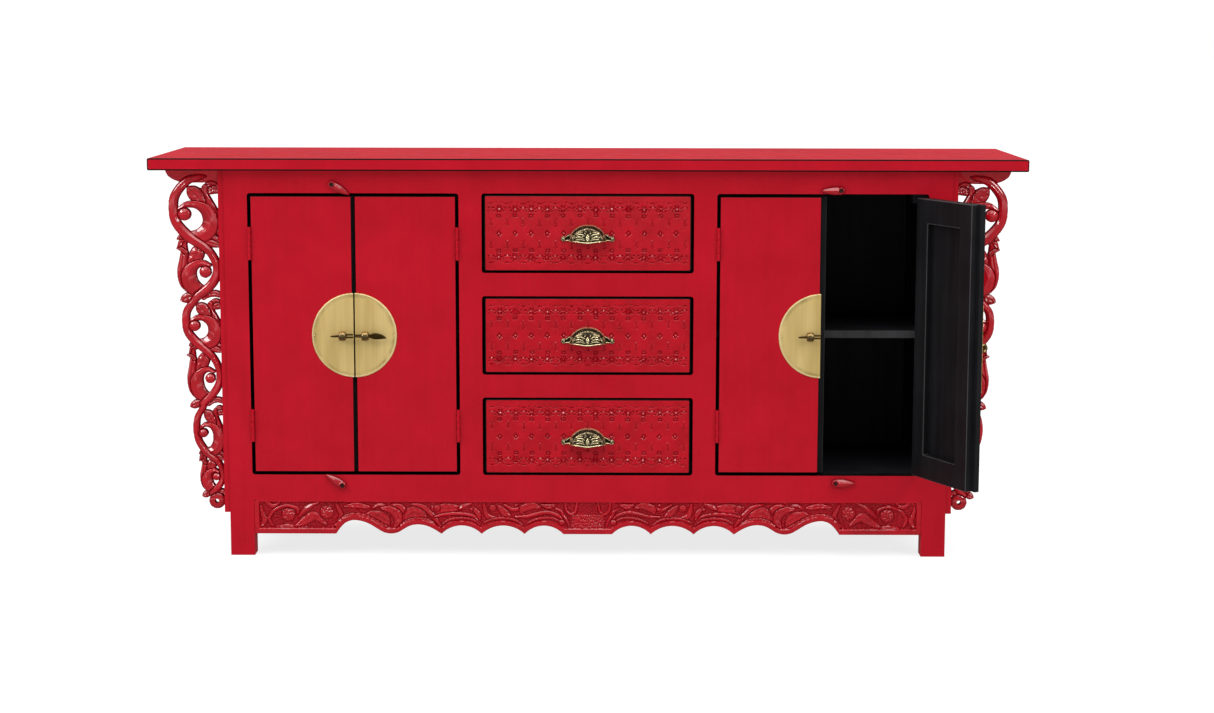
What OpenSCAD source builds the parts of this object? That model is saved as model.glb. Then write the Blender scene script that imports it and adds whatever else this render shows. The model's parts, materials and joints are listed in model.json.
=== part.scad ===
// Red lacquered sideboard: two cabinets with lapped pairs of doors, three drawers between them,
// pierced scroll brackets under the ends of the top, and a scalloped apron between four feet.
// Millimetres. +Z is up, the front faces -Y, and the origin is on the floor at the middle of the
// space that the piece takes up with its right-hand door standing open.

/* [Overall] */
// Width of the top board
top_w = 1800; // [1760:1:2200]
// Depth of the top board
top_d = 410; // [380:1:500]
// Height from the floor to the top surface
height = 832; // [800:1:900]
// Thickness of the top board
top_t = 25; // [18:1:32]
// How far the top board stands in front of the body
top_lip = 20; // [8:1:30]
// Width of the body over its four posts
body_w = 1496; // [1480:1:1560]

/* [Carcass] */
// Width of a post
post_w = 48; // [40:1:60]
// Width of a foot, below the bottom rail
foot_w = 50; // [49:1:66]
// Width of the stiles beside the drawers
stile_w = 47; // [36:1:60]
// Width of a drawer opening
drawer_open_w = 437; // [400:1:470]
// Height of a drawer opening
drawer_open_h = 164; // [150:1:170]
// Height of the rails between the drawers
drawer_rail_h = 48; // [36:1:56]
// Height of the doors' and drawers' opening above the floor
opening_z = 172; // [160:1:190]
// Lowest edge of the bottom rail
rail_z = 117; // [110:1:125]
// Lowest edge of the apron
apron_z = 46; // [40:1:60]
// Thickness of the side panels
side_t = 12; // [9:1:18]
// Thickness of the front rails and stiles
rail_t = 28; // [22:1:34]
// Thickness of the shelves
shelf_t = 16; // [12:1:22]
// Height of a shelf's upper face
shelf_z = 470; // [380:1:560]

/* [Doors] */
// Gap at a door's hinge side
hinge_gap = 7; // [7:0.5:8]
// Gap between the two doors of a pair
meeting_gap = 8; // [8:0.5:10]
// Gap above and below a door
door_gap_z = 6; // [4:0.5:8]
// Thickness of a door's front board
door_board_t = 11; // [9:1:14]
// Thickness of the frame behind the board
door_frame_t = 14; // [12:1:18]
// How far the door on the right stands open
open_angle = 116; // [90:1:150]
// Distance of the hinges above and below the lock
hinge_offset = 190; // [150:1:220]
// Height of a hinge
hinge_h = 68; // [50:1:80]

/* [Lock] */
// Diameter of the round plate
plate_d = 176; // [150:1:190]
// Distance of the eyes from the plate's middle
eye_x = 23.5; // [20:0.5:28]
// Thickness of the plate
plate_t = 2; // [1:0.5:3]

/* [Drawers] */
// Width of a drawer's carved front
front_w = 426; // [400:1:430]
// Height of a drawer's carved front
front_h = 157; // [140:1:158]
// Thickness of a drawer's carved front
front_t = 18; // [14:1:22]
// Depth of a drawer's box behind its front
box_d = 332; // [250:1:334]

/* [Hidden] */
$fn = 64;

red = "#b31422";
black = "#1d1c1e";
brass = "#c8af6e";
dark_brass = "#6e6038";
bronze = "#4b3d22";
wood = "#8c6a48";
steel = "#8a8a88";

// Depths are counted from the front plane of the body, and y0 is where that plane lies
top_overhang_back = 12;
body_back = top_d - top_lip - top_overhang_back;
axis_y = -3;
knuckle_r = 3.2;
panel_w = (body_w - 2 * post_w - 2 * stile_w - drawer_open_w) / 2;
door_w = (panel_w - 2 * hinge_gap - meeting_gap) / 2;
door_start = hinge_gap / 2;
door_reach = door_start + door_w;
swing_reach = door_reach * sin(open_angle) - (door_board_t - axis_y) * cos(open_angle);
y0 = (swing_reach - axis_y - (top_d - top_lip)) / 2;

under_top = height - top_t;
open_top = opening_z + 3 * drawer_open_h + 2 * drawer_rail_h;
body_x = body_w / 2;
open_x = body_x - post_w;
side_x = body_x + side_t;
drawer_x = drawer_open_w / 2;
stile_x = drawer_x + stile_w;
cabinet_x = (open_x + stile_x) / 2;
door_z = opening_z + door_gap_z;
door_h = open_top - opening_z - 2 * door_gap_z;
lock_z = door_z + door_h / 2;
post_d = 40;
back_panel_t = 8;
panel_y = body_back - back_panel_t - 4;
partition_x = stile_x - 20;
partition_t = 16;
bottom_t = 16;

// Doors 1 to 4 run from left to right: [hinge axis x, side the door extends to, angle, lip, set-back]
lip_shut = 5;
lip_open = 12;
set_back = 12;
DOORS = [
    [-open_x + door_start, 1, 0, lip_shut, 0],
    [-stile_x - door_start, -1, 0, 0, set_back],
    [stile_x + door_start, 1, 0, lip_open, 0],
    [open_x - door_start, -1, open_angle, 0, set_back]
];

// A board between two corners, with y counted from the front plane
module board(x0, x1, y_front, y_back, z0, z1) {
    translate([x0, y0 + y_front, z0]) cube([x1 - x0, y_back - y_front, z1 - z0]);
}

// The same board on the left (s = -1) or on the right (s = 1)
module side_board(s, x0, x1, y_front, y_back, z0, z1) {
    board(s > 0 ? x0 : -x1, s > 0 ? x1 : -x0, y_front, y_back, z0, z1);
}

// A flat shape drawn in x and z, given a depth from y_front to y_back
module slab(y_front, y_back) {
    translate([0, y0 + y_back, 0]) rotate([90, 0, 0]) linear_extrude(y_back - y_front) children();
}

// ---- Carcass ----

module top_board() {
    color(red) board(-top_w / 2, top_w / 2, -top_lip, top_d - top_lip, under_top, height);
}

// A post with the wider foot that stands below the bottom rail
module post(s, y_front, y_back) {
    color(red) union() {
        side_board(s, open_x, body_x, y_front, y_back, 0, under_top);
        side_board(s, body_x - foot_w, body_x, y_front, y_back, 0, rail_z);
    }
}

side_inset = 3;
side_drop = 26;
module side_panel(s) {
    color(red)
        side_board(s, body_x, side_x, side_inset, body_back - side_inset, rail_z - side_drop, under_top);
}

module rail_top() {
    color(red) board(-open_x, open_x, 0, rail_t, open_top, under_top);
}

module rail_bottom() {
    color(red) board(-open_x, open_x, 0, rail_t, rail_z, opening_z);
}

module stile(s) {
    color(red) side_board(s, drawer_x, stile_x, 0, rail_t, opening_z, open_top);
}

module drawer_rails() {
    color(red) for (i = [1:2]) {
        z = opening_z + i * drawer_open_h + (i - 1) * drawer_rail_h;
        board(-drawer_x, drawer_x, 0, rail_t, z, z + drawer_rail_h);
    }
}

module back_panel() {
    color(black) board(-open_x, open_x, panel_y, panel_y + back_panel_t, rail_z, under_top);
}

module bottom_board() {
    color(black) union() {
        board(-open_x, open_x, rail_t, panel_y, opening_z - bottom_t, opening_z);
        board(-body_x, body_x, post_d, body_back - post_d, opening_z - bottom_t, opening_z);
    }
}

module partition(s) {
    color(black) side_board(s, partition_x, partition_x + partition_t, rail_t, panel_y, opening_z, under_top);
}

shelf_y = 60;
module shelf(s) {
    color(black) union() {
        side_board(s, partition_x + partition_t, open_x, shelf_y, panel_y, shelf_z - shelf_t, shelf_z);
        side_board(s, open_x, body_x, shelf_y, body_back - post_d, shelf_z - shelf_t, shelf_z);
    }
}

// Battens that carry the shelves, and the blocks that stop the doors behind the top rail
cleat = 18;
cleat_inset = 12;
stop_w = 30;
stop_d = 22;
stop_drop = 20;
module cleats() {
    door_back = door_board_t + door_frame_t + 0.5;
    inner = partition_x + partition_t;
    shelf_under = shelf_z - shelf_t;
    stop_z = open_top - stop_drop;
    cleat_y = shelf_y + cleat_inset;
    color(black) for (s = [-1, 1]) {
        side_board(s, inner, inner + cleat, cleat_y, panel_y - cleat_inset, shelf_under - cleat, shelf_under);
        side_board(s, body_x - cleat, body_x, cleat_y, body_back - post_d, shelf_under - cleat, shelf_under);
        side_board(s, inner, inner + stop_w, rail_t, rail_t + stop_d, stop_z, under_top);
        side_board(s, open_x - stop_w, open_x, post_d, post_d + stop_d, stop_z, under_top);
        side_board(s, open_x - stop_w, open_x, door_back, post_d, stop_z, open_top);
    }
}

// The drawers' floor runners, each with a guide beside the drawer's box
box_x = 206;
box_lift = 4;
runner_w = 16;
guide_h = 24;
guide_gap = 1;
module drawer_runners() {
    color(wood) for (i = [0:2], s = [-1, 1]) {
        z = opening_z + i * (drawer_open_h + drawer_rail_h);
        low = max(z - runner_w, opening_z);
        union() {
            side_board(s, box_x - runner_w, partition_x, rail_t, panel_y, low, z + box_lift - 0.5);
            side_board(s, box_x + guide_gap, partition_x, rail_t, panel_y, low, z + guide_h);
        }
    }
}

// ---- Apron ----

// The carved board's lower edge: a flat middle, then on each side three small arches that meet in
// cusps, a wave with a low and a high crest, and a flat end beside the foot
arch_ends = [51, 132, 222, 306];
arch_rise = 18;
// The wave, as [distance from the middle, height above the lowest edge]
wave = [
    [306, 0], [321, 9.8], [338, 17.4], [354, 20], [370, 18], [383, 11.5], [393, 5.2], [402, 1.7],
    [412, 0.6], [422, 1.7], [431, 5.2], [443, 12.5], [457, 21], [473, 26.9], [488, 29], [499, 27.2],
    [509, 22], [519, 11.5], [527, 0]
];

// A circle whose top stands rise above the line between x0 and x1
module arch(x0, x1, z, rise) {
    half = (x1 - x0) / 2;
    r = (half * half + rise * rise) / (2 * rise);
    translate([(x0 + x1) / 2, z + rise - r]) circle(r);
}

// The space under the wave, grown by edge
module wave_hollow(edge) {
    path = smooth([for (p = wave) [p[0], apron_z + p[1], 2 * edge]], 2);
    polygon(concat(
        [[wave[0][0] - edge, apron_z - 1]],
        edge_of(path, 1),
        [[wave[len(wave) - 1][0] + edge, apron_z - 1]]
    ));
}

module apron_outline(edge) {
    low = apron_z + edge;
    end_x = body_x - foot_w - edge;
    difference() {
        translate([-end_x, low]) square([2 * end_x, rail_z - edge - low]);
        for (s = [-1, 1]) scale([s, 1]) {
            for (i = [0:2])
                arch(arch_ends[i] - edge, arch_ends[i + 1] + edge, apron_z, arch_rise + edge);
            wave_hollow(edge);
        }
    }
}

apron_t = 20;
carving = 5;
border = 8;
module apron() {
    color(red) union() {
        slab(carving, apron_t) apron_outline(0);
        slab(0, carving) difference() {
            apron_outline(0);
            apron_outline(border);
        }
    }
}

// ---- Scroll brackets ----

// A smooth path through the points [u, v, width], with n steps between each two
function blend(a, b, c, d, t) =
    0.5 * (2 * b + (c - a) * t + (2 * a - 5 * b + 4 * c - d) * t * t + (3 * b - a - 3 * c + d) * t * t * t);
function smooth(p, n = 4) = [
    for (i = [0:len(p) - 2], k = [0:n - (i == len(p) - 2 ? 0 : 1)])
        blend(p[max(i - 1, 0)], p[i], p[i + 1], p[min(i + 2, len(p) - 1)], k / n)
];
// The way a path runs at its point i
function heading(p, i) =
    let (a = p[max(i - 1, 0)], b = p[min(i + 1, len(p) - 1)], step = [b[0] - a[0], b[1] - a[1]])
        step / norm(step);
// One edge of a path, half its width to the side s
function edge_of(p, s) = [
    for (i = [0:len(p) - 1])
        let (d = heading(p, i), half = s * p[i][2] / 2)
            [p[i][0] - half * d[1], p[i][1] + half * d[0]]
];
module band(points) {
    path = smooth(points);
    back = edge_of(path, -1);
    polygon(concat(edge_of(path, 1), [for (i = [len(back) - 1:-1:0]) back[i]]));
}

// Heights where one scroll hands over to the next, and each scroll's reach from the side panel
scroll_z = [790, 662, 545, 440, 322, 212, 130];
scroll_u = [100, 85, 78, 70, 60, 48];

// A height on scroll i, from v = 0 at its top to 1 at its lower end
function scroll_height(i, v) = scroll_z[i] + (scroll_z[i + 1] - scroll_z[i]) * v;
// Points [u, v, width] put at scroll i, with u from 0 at the side panel to 1; the lower scrolls are slimmer
function on_scroll(i, p) = [for (q = p) [q[0] * scroll_u[i], scroll_height(i, q[1]), q[2] * (1 - 0.06 * i)]];
module vine(i, points) {
    band(on_scroll(i, points));
}

// A scroll whose stem bows outwards, with a hook that curls back from below and ends in a ball
module outward_scroll(i) {
    vine(i, [[0.22, 0, 12], [0.58, 0.06, 14], [0.84, 0.26, 14], [0.93, 0.5, 13], [0.84, 0.76, 14],
        [0.56, 1, 14]]);
    vine(i, [[0.62, 0.94, 14], [0.42, 0.93, 16], [0.22, 0.84, 20], [0.13, 0.68, 22], [0.2, 0.52, 18],
        [0.36, 0.42, 15], [0.54, 0.41, 12], [0.68, 0.47, 9]]);
    vine(i, [[0.22, 0.52, 16], [0.3, 0.36, 20], [0.44, 0.26, 22], [0.54, 0.2, 12]]);
    vine(i, [[0.1, 0.66, 14], [0.16, 0.4, 12], [0.24, 0.22, 12], [0.14, 0.12, 14], [0, 0.13, 8]]);
    vine(i, [[0.4, 0.98, 10], [0.2, 1.05, 18], [0, 1.0, 8]]);
    ball(i, 0.7, 0.54);
}

// A scroll whose stem runs beside the panel, with a wide leaf outside and the hook turned round
module inward_scroll(i) {
    vine(i, [[0.56, 0, 14], [0.3, 0.16, 13], [0.13, 0.38, 13], [0.08, 0.6, 13], [0.2, 0.82, 14],
        [0.56, 1, 14]]);
    vine(i, [[0.46, 0.95, 14], [0.7, 0.86, 20], [0.83, 0.64, 20], [0.72, 0.46, 16], [0.5, 0.41, 12],
        [0.34, 0.47, 10]]);
    vine(i, [[0.9, 0.66, 10], [0.86, 0.4, 14], [0.82, 0.16, 16], [0.98, -0.03, 6]]);
    vine(i, [[0.62, 0.48, 12], [0.52, 0.3, 20], [0.42, 0.14, 16], [0.4, 0.08, 8]]);
    vine(i, [[0.56, 1.02, 14], [0.84, 1.06, 16], [1.0, 1.08, 4]]);
    ball(i, 0.31, 0.54);
}

module ball(i, u, v) {
    translate([u * scroll_u[i], scroll_height(i, v)]) circle(11 - i * 0.8, $fn = 24);
}

bracket_y = 4;
bracket_t = 18;
cloud_w = 108;
ring_r = 17;
ring_hole_r = 4.5;
ring_u = 16.5;
ring_z = 114;
module bracket_outline() {
    intersection() {
        square([cloud_w, under_top]);
        union() {
            for (i = [0:3]) translate([14 + i * 24, under_top + 6]) circle(28 - i * 1.5, $fn = 32);
            for (i = [0:2:4]) outward_scroll(i);
            for (i = [1:2:5]) inward_scroll(i);
            translate([ring_u, ring_z]) difference() {
                circle(ring_r);
                circle(ring_hole_r);
            }
        }
    }
}
module bracket(s) {
    color(red) translate([s * side_x, 0, 0]) scale([s, 1, 1])
        slab(bracket_y, bracket_y + bracket_t) bracket_outline();
}

// ---- Hinges ----

knuckles = 5;
leaf_t = 1.5;
leaf_y = 25;
hinge_pin_r = 1.5;

knuckle_gap = 0.3;
knuckle_step = hinge_h / knuckles;
knuckle_h = knuckle_step - knuckle_gap;

// One knuckle, counted from the bottom of a hinge that stands on z = 0
module knuckle(k) {
    translate([0, 0, k * knuckle_step + knuckle_gap / 2]) cylinder(r = knuckle_r, h = knuckle_h);
}

// A leaf beside the axis at +x, with tabs to its own knuckles
module leaf(own) {
    edge_y = knuckle_r + 0.6;
    translate([door_start - leaf_t, edge_y, 0]) cube([leaf_t, leaf_y - edge_y, hinge_h]);
    for (k = own)
        translate([door_start - leaf_t, 0, k * knuckle_step + knuckle_gap / 2])
            cube([leaf_t, edge_y + 0.4, knuckle_h]);
}

module hinge_frame_leaves() {
    color(red) for (d = DOORS, up = [-1, 1])
        translate([d[0], y0 + axis_y, lock_z + up * hinge_offset - hinge_h / 2]) scale([d[1], 1, 1]) union() {
            scale([-1, 1, 1]) leaf([0, 2, 4]);
            for (k = [0, 2, 4]) knuckle(k);
            cylinder(r = hinge_pin_r, h = hinge_h);
        }
}

// ---- Doors ----

// Puts a shape drawn from the hinge axis, along +x and with y into the cabinet, on door i
module on_door(i) {
    d = DOORS[i - 1];
    translate([d[0], y0 + axis_y, 0]) rotate([0, 0, d[2]]) scale([d[1], 1, 1]) children();
}

face_y = -axis_y;
frame_y = face_y + door_board_t;
lap_gap = 0.6;
door_stile = 40;
door_rail = 50;

module door_board(i) {
    color(red) on_door(i) translate([door_start, face_y, door_z]) cube([door_w, door_board_t, door_h]);
}

// The frame behind the board, with a lip under the other door's edge or set back to clear one
module door_frame(i) {
    wide = door_w + DOORS[i - 1][3] - DOORS[i - 1][4];
    lip = DOORS[i - 1][3];
    color(black) on_door(i) difference() {
        union() {
            translate([door_start, frame_y, door_z]) cube([min(wide, door_w), door_frame_t, door_h]);
            translate([door_start, frame_y + lap_gap, door_z]) cube([wide, door_frame_t - lap_gap, door_h]);
        }
        translate([door_start + door_stile, frame_y - 1, door_z + door_rail])
            cube([wide - 2 * door_stile - lip, door_frame_t + 2, door_h - 2 * door_rail]);
    }
}

// The part of the round plate that lies on one door
module door_plate(i) {
    color(brass) on_door(i) translate([0, face_y, lock_z]) rotate([90, 0, 0])
        linear_extrude(plate_t) intersection() {
            translate([door_reach + meeting_gap / 2, 0]) circle(plate_d / 2, $fn = 96);
            translate([0, -plate_d]) square([door_reach - 0.5, 2 * plate_d]);
        }
}

eye_h = 13;
eye_ring = 5.2;
eye_tube = 2.8;
strap_w = 25;

// A ring standing on edge on a short stem; the left door of each pair also has the strap's tongue
module door_eye(i) {
    at = door_reach + meeting_gap / 2 - eye_x;
    color(dark_brass) on_door(i) translate([at, face_y - eye_h, lock_z]) union() {
        rotate([0, 90, 0]) rotate_extrude() translate([eye_ring, 0]) circle(eye_tube, $fn = 24);
        translate([0, eye_h - plate_t, 0]) rotate([90, 0, 0])
            cylinder(r = 2.6, h = eye_h - plate_t - eye_ring);
        if (i == 1 || i == 3) translate([-strap_w, -1.3, -3.4]) cube([strap_w + eye_x - 1, 2.6, 6.8]);
    }
}

module door_hinge_leaves(i) {
    color(red) on_door(i) for (up = [-1, 1])
        translate([0, 0, lock_z + up * hinge_offset - hinge_h / 2]) difference() {
            union() {
                leaf([1, 3]);
                for (k = [1, 3]) knuckle(k);
            }
            translate([0, 0, -1]) cylinder(r = hinge_pin_r + 0.06, h = hinge_h + 2);
        }
}

// The loose pin in the eye of door 2: a bar that fits the ring, and a leaf-shaped tail
pin_bar = 3.2;
pin_t = 2.6;
pin_end = 67;
module lock_pin() {
    bar = pin_bar / 2;
    color(bronze) translate([-cabinet_x, -eye_h, lock_z]) slab(-pin_t / 2, pin_t / 2) {
        polygon([[1, bar], [33, bar], [38, 5.6], [50, 5.8], [59, 3], [pin_end, -3.5], [60, -4.5], [46, -6.2],
            [36, -3.2], [33, -bar], [1, -bar]]);
    }
}

// ---- Drawers ----

function drawer_base(i) = opening_z + (3 - i) * (drawer_open_h + drawer_rail_h);
box_wall = 12;
box_h = 136;
box_floor = 6;

module drawer_front(i) {
    z = drawer_base(i) + (drawer_open_h - front_h) / 2;
    color(red) board(-front_w / 2, front_w / 2, 0, front_t, z, z + front_h);
}

module drawer_box(i) {
    z = drawer_base(i) + box_lift;
    back = front_t + box_d;
    inner_x = box_x - box_wall;
    color(wood) difference() {
        board(-box_x, box_x, front_t, back, z, z + box_h);
        board(-inner_x, inner_x, front_t - 1, back - box_wall, z + box_floor, z + box_h + 1);
    }
}

// A cup pull: a quarter shell that is open below, with an ear on each side
pull_w = 112;
pull_h = 38;
dome_w = 79;
dome_d = 27;
dome_t = 2.5;
module drawer_pull(i) {
    z = drawer_base(i) + drawer_open_h / 2 - pull_h / 2;
    color(dark_brass) union() {
        intersection() {
            board(-dome_w, dome_w, -dome_d, 0, z, z + pull_h);
            translate([0, y0, z]) difference() {
                scale([dome_w / 2, dome_d, pull_h]) sphere(1, $fn = 40);
                scale([dome_w / 2 - dome_t, dome_d - dome_t, pull_h - dome_t]) sphere(1, $fn = 40);
            }
        }
        for (s = [-1, 1]) side_board(s, dome_w / 2 - dome_t, pull_w / 2, -2.5, 0, z, z + 12);
    }
}

// ---- Turn buttons ----

// Buttons 1 to 4, left pair then right pair, upper before lower: [x, z, angle it points at]
BUTTONS = [
    [-cabinet_x - 42, open_top + 18, -30],
    [-cabinet_x - 29, opening_z - 22, 146],
    [cabinet_x + 36, open_top + 7, 180],
    [cabinet_x + 34, opening_z - 15, 0]
];
button_t = 10;
button_gap = 0.5;
button_r = 8.5;
button_l = 42;
tip_r = 1.2;
screw_r = 1.9;

module button(i) {
    b = BUTTONS[i - 1];
    color(red) translate([b[0], y0 - button_gap, b[1]]) rotate([0, -b[2], 0]) rotate([90, 0, 0])
        difference() {
            linear_extrude(button_t) hull() {
                circle(button_r);
                translate([button_l - tip_r, 0]) circle(tip_r, $fn = 24);
                translate([button_l * 0.45, 0]) circle(7.2);
            }
            translate([0, 0, -1]) cylinder(r = screw_r + 0.08, h = button_t + 2);
        }
}

// Round-headed screws that hold the buttons to the rails
module button_screws() {
    color(steel) for (b = BUTTONS) translate([b[0], y0, b[1]]) rotate([90, 0, 0]) union() {
        cylinder(r = screw_r, h = button_gap + button_t + 0.4);
        translate([0, 0, button_gap + button_t + 0.2]) cylinder(r = 3.6, h = 1.8);
    }
}

top_board();
post(-1, 0, post_d);  // post_front_left
post(1, 0, post_d);  // post_front_right
post(-1, body_back - post_d, body_back);  // post_back_left
post(1, body_back - post_d, body_back);  // post_back_right
side_panel(-1);  // side_panel_left
side_panel(1);  // side_panel_right
rail_top();
rail_bottom();
stile(-1);  // stile_left
stile(1);  // stile_right
drawer_rails();
apron();
bracket(-1);  // bracket_left
bracket(1);  // bracket_right
back_panel();
bottom_board();
partition(-1);  // partition_left
partition(1);  // partition_right
shelf(-1);  // shelf_left
shelf(1);  // shelf_right
cleats();
drawer_runners();
hinge_frame_leaves();
button_screws();
lock_pin();
for (i = [1:4]) {
    door_board(i);
    door_frame(i);
    door_plate(i);
    door_eye(i);
    door_hinge_leaves(i);
    button(i);
}
for (i = [1:3]) {
    drawer_front(i);
    drawer_box(i);
    drawer_pull(i);
}
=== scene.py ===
"""Looks of a red lacquered sideboard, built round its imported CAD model.

Lengths are in metres in the CAD model's own frame: +Z is up and the front faces -Y. Carvings are drawn
on grids, in millimetres, as strokes whose height makes a relief.
"""
import json
import math

import bmesh
import bpy
import numpy as np
from mathutils import Matrix, Vector


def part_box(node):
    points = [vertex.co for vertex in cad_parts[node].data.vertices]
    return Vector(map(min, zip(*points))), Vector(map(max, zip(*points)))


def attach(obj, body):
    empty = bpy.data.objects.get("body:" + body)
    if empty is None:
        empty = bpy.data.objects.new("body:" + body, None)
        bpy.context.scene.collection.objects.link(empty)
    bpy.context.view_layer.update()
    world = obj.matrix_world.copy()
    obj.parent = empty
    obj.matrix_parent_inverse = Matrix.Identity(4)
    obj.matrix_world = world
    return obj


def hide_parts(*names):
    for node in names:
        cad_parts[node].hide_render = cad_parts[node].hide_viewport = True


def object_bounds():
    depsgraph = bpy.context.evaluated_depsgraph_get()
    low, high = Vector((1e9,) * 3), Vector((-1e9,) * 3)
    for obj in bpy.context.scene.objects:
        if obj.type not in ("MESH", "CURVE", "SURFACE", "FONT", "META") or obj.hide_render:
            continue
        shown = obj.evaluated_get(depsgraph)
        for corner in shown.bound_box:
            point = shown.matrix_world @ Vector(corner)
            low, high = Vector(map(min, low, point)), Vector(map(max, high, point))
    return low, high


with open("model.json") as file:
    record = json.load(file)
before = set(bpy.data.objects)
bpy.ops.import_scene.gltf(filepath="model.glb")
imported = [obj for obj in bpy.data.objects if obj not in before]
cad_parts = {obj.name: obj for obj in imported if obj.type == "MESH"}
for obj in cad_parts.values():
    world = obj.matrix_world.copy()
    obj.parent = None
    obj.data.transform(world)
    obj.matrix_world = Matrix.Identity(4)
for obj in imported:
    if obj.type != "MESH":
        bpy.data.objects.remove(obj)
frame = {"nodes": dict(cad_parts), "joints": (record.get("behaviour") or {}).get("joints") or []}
cad_low, cad_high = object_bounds()
NODES = frame["nodes"]
MM = 0.001

front_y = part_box("rail_top")[0].y
door_numbers = (1, 2, 3, 4)
drawer_numbers = (1, 2, 3)


# ---------------------------------------------------------------- shader nodes

def new_material(name, gloss=0.1):
    """A material, its tree and its Principled shader, which reflects less than plain plastic does."""
    made = bpy.data.materials.new(name)
    made.use_nodes = True
    tree = made.node_tree
    shader = tree.nodes["Principled BSDF"]
    shader.inputs["Specular IOR Level"].default_value = gloss
    return made, tree, shader


def put(tree, node, inputs):
    """Fills a node's inputs, each with a value or with a link from another node's output."""
    for key, value in inputs.items():
        if isinstance(value, bpy.types.NodeSocket):
            tree.links.new(value, node.inputs[key])
        else:
            node.inputs[key].default_value = value


def shader_node(tree, kind, inputs=None, **settings):
    """A node of that kind, with those settings and inputs."""
    made = tree.nodes.new("ShaderNode" + kind)
    for key, value in settings.items():
        setattr(made, key, value)
    put(tree, made, inputs or {})
    return made


def place(tree, stretch=(1, 1, 1)):
    """Where a point is on its own piece, stretched."""
    point = shader_node(tree, "TexCoord").outputs["Object"]
    return shader_node(tree, "Mapping", {"Vector": point, "Scale": stretch}).outputs[0]


def noise_at(tree, scale, stretch=(1, 1, 1), detail=3.0, roughness=0.5):
    """A noise from 0 to 1, with scale counted per metre."""
    inputs = {"Vector": place(tree, stretch), "Scale": scale, "Detail": detail, "Roughness": roughness}
    return shader_node(tree, "TexNoise", inputs).outputs["Fac"]


def span(tree, value, low, high, to_low=0.0, to_high=1.0):
    """The value's part between low and high, laid out between to_low and to_high."""
    inputs = {"Value": value, "From Min": low, "From Max": high, "To Min": to_low, "To Max": to_high}
    return shader_node(tree, "MapRange", inputs).outputs[0]


def arithmetic(tree, kind, a, b):
    return shader_node(tree, "Math", {0: a, 1: b}, operation=kind).outputs[0]


def times(tree, a, b):
    return arithmetic(tree, "MULTIPLY", a, b)


def mixed(tree, factor, a, b):
    """Colour a turning to colour b as the factor goes from 0 to 1."""
    return shader_node(tree, "Mix", {0: factor, 6: a, 7: b}, data_type="RGBA").outputs[2]


def carved(tree):
    """The points' attribute carved: 1 on the height of a carving, 0 in its depth."""
    return shader_node(tree, "Attribute", attribute_name="carved").outputs["Fac"]


def bump(tree, shader, height, distance, strength=1.0):
    made = shader_node(tree, "Bump", {"Height": height, "Distance": distance, "Strength": strength})
    tree.links.new(made.outputs[0], shader.inputs["Normal"])


def rgb(red, green, blue):
    """A screen colour of 0 to 255 a channel, as the linear colour that shaders use."""
    def linear(value):
        value /= 255
        return value / 12.92 if value <= 0.04045 else ((value + 0.055) / 1.055) ** 2.4
    return (linear(red), linear(green), linear(blue), 1.0)


# ---------------------------------------------------------------- materials

# The darkest red gives the brush streaks and scuffs, and is also painted shade in the hollows of carvings.
RED, DEEP_RED, OLD_RED_AND_SHADE = rgb(177, 13, 33), rgb(164, 9, 27), rgb(92, 7, 16)
CARVED_RED, CARVED_DEEP_RED = rgb(176, 7, 27), rgb(158, 5, 21)
# RUBBED is the near black of scuffs; the pale pink is a painted highlight on the tips of carvings.
RUBBED, PAINTED_HIGHLIGHT_PALE = rgb(26, 8, 9), rgb(232, 168, 166)
GAP_BLACK = rgb(9, 7, 8)


def red_lacquer(name, roughness, worn=False):
    """Brushed red lacquer: soft clouds of tone, faint brush marks, and a few darker scuffs."""
    made, tree, shader = new_material(name)
    clouds = span(tree, noise_at(tree, 9, detail=5, roughness=0.65), 0.35, 0.68)
    streaks = span(tree, noise_at(tree, 90, (1, 1, 0.06), detail=5), 0.35, 0.75)
    tone = mixed(tree, times(tree, clouds, 0.9), RED, DEEP_RED)
    tone = mixed(tree, times(tree, streaks, 0.08), tone, OLD_RED_AND_SHADE)
    # With worn set, the tone is a dark scuffed red-black: wear on eased edges, and painted shade on the walls
    # of carvings.
    if worn:
        scuffs = span(tree, noise_at(tree, 160, detail=6, roughness=0.7), 0.34, 0.56)
        tone = mixed(tree, scuffs, RUBBED, OLD_RED_AND_SHADE)
    patches = noise_at(tree, 35, (1, 1, 0.3), detail=4)
    gloss = span(tree, patches, 0.3, 0.7, roughness - 0.05, roughness + 0.07)
    put(tree, shader, {"Base Color": tone, "Roughness": gloss})
    grain = arithmetic(tree, "ADD", streaks, span(tree, noise_at(tree, 700, detail=2), 0.3, 0.7, 0, 0.35))
    bump(tree, shader, grain, 0.00012)
    return made


def red_below(height):
    """Red paint up to that height, and black paint above it."""
    made, tree, shader = new_material("post_inside")
    point = shader_node(tree, "SeparateXYZ", {0: shader_node(tree, "TexCoord").outputs["Object"]})
    above = arithmetic(tree, "GREATER_THAN", point.outputs["Z"], height)
    clouds = span(tree, noise_at(tree, 9, detail=5), 0.35, 0.68)
    tone = mixed(tree, above, mixed(tree, clouds, RED, DEEP_RED), GAP_BLACK)
    put(tree, shader, {"Base Color": tone, "Roughness": 0.42})
    return made


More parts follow.
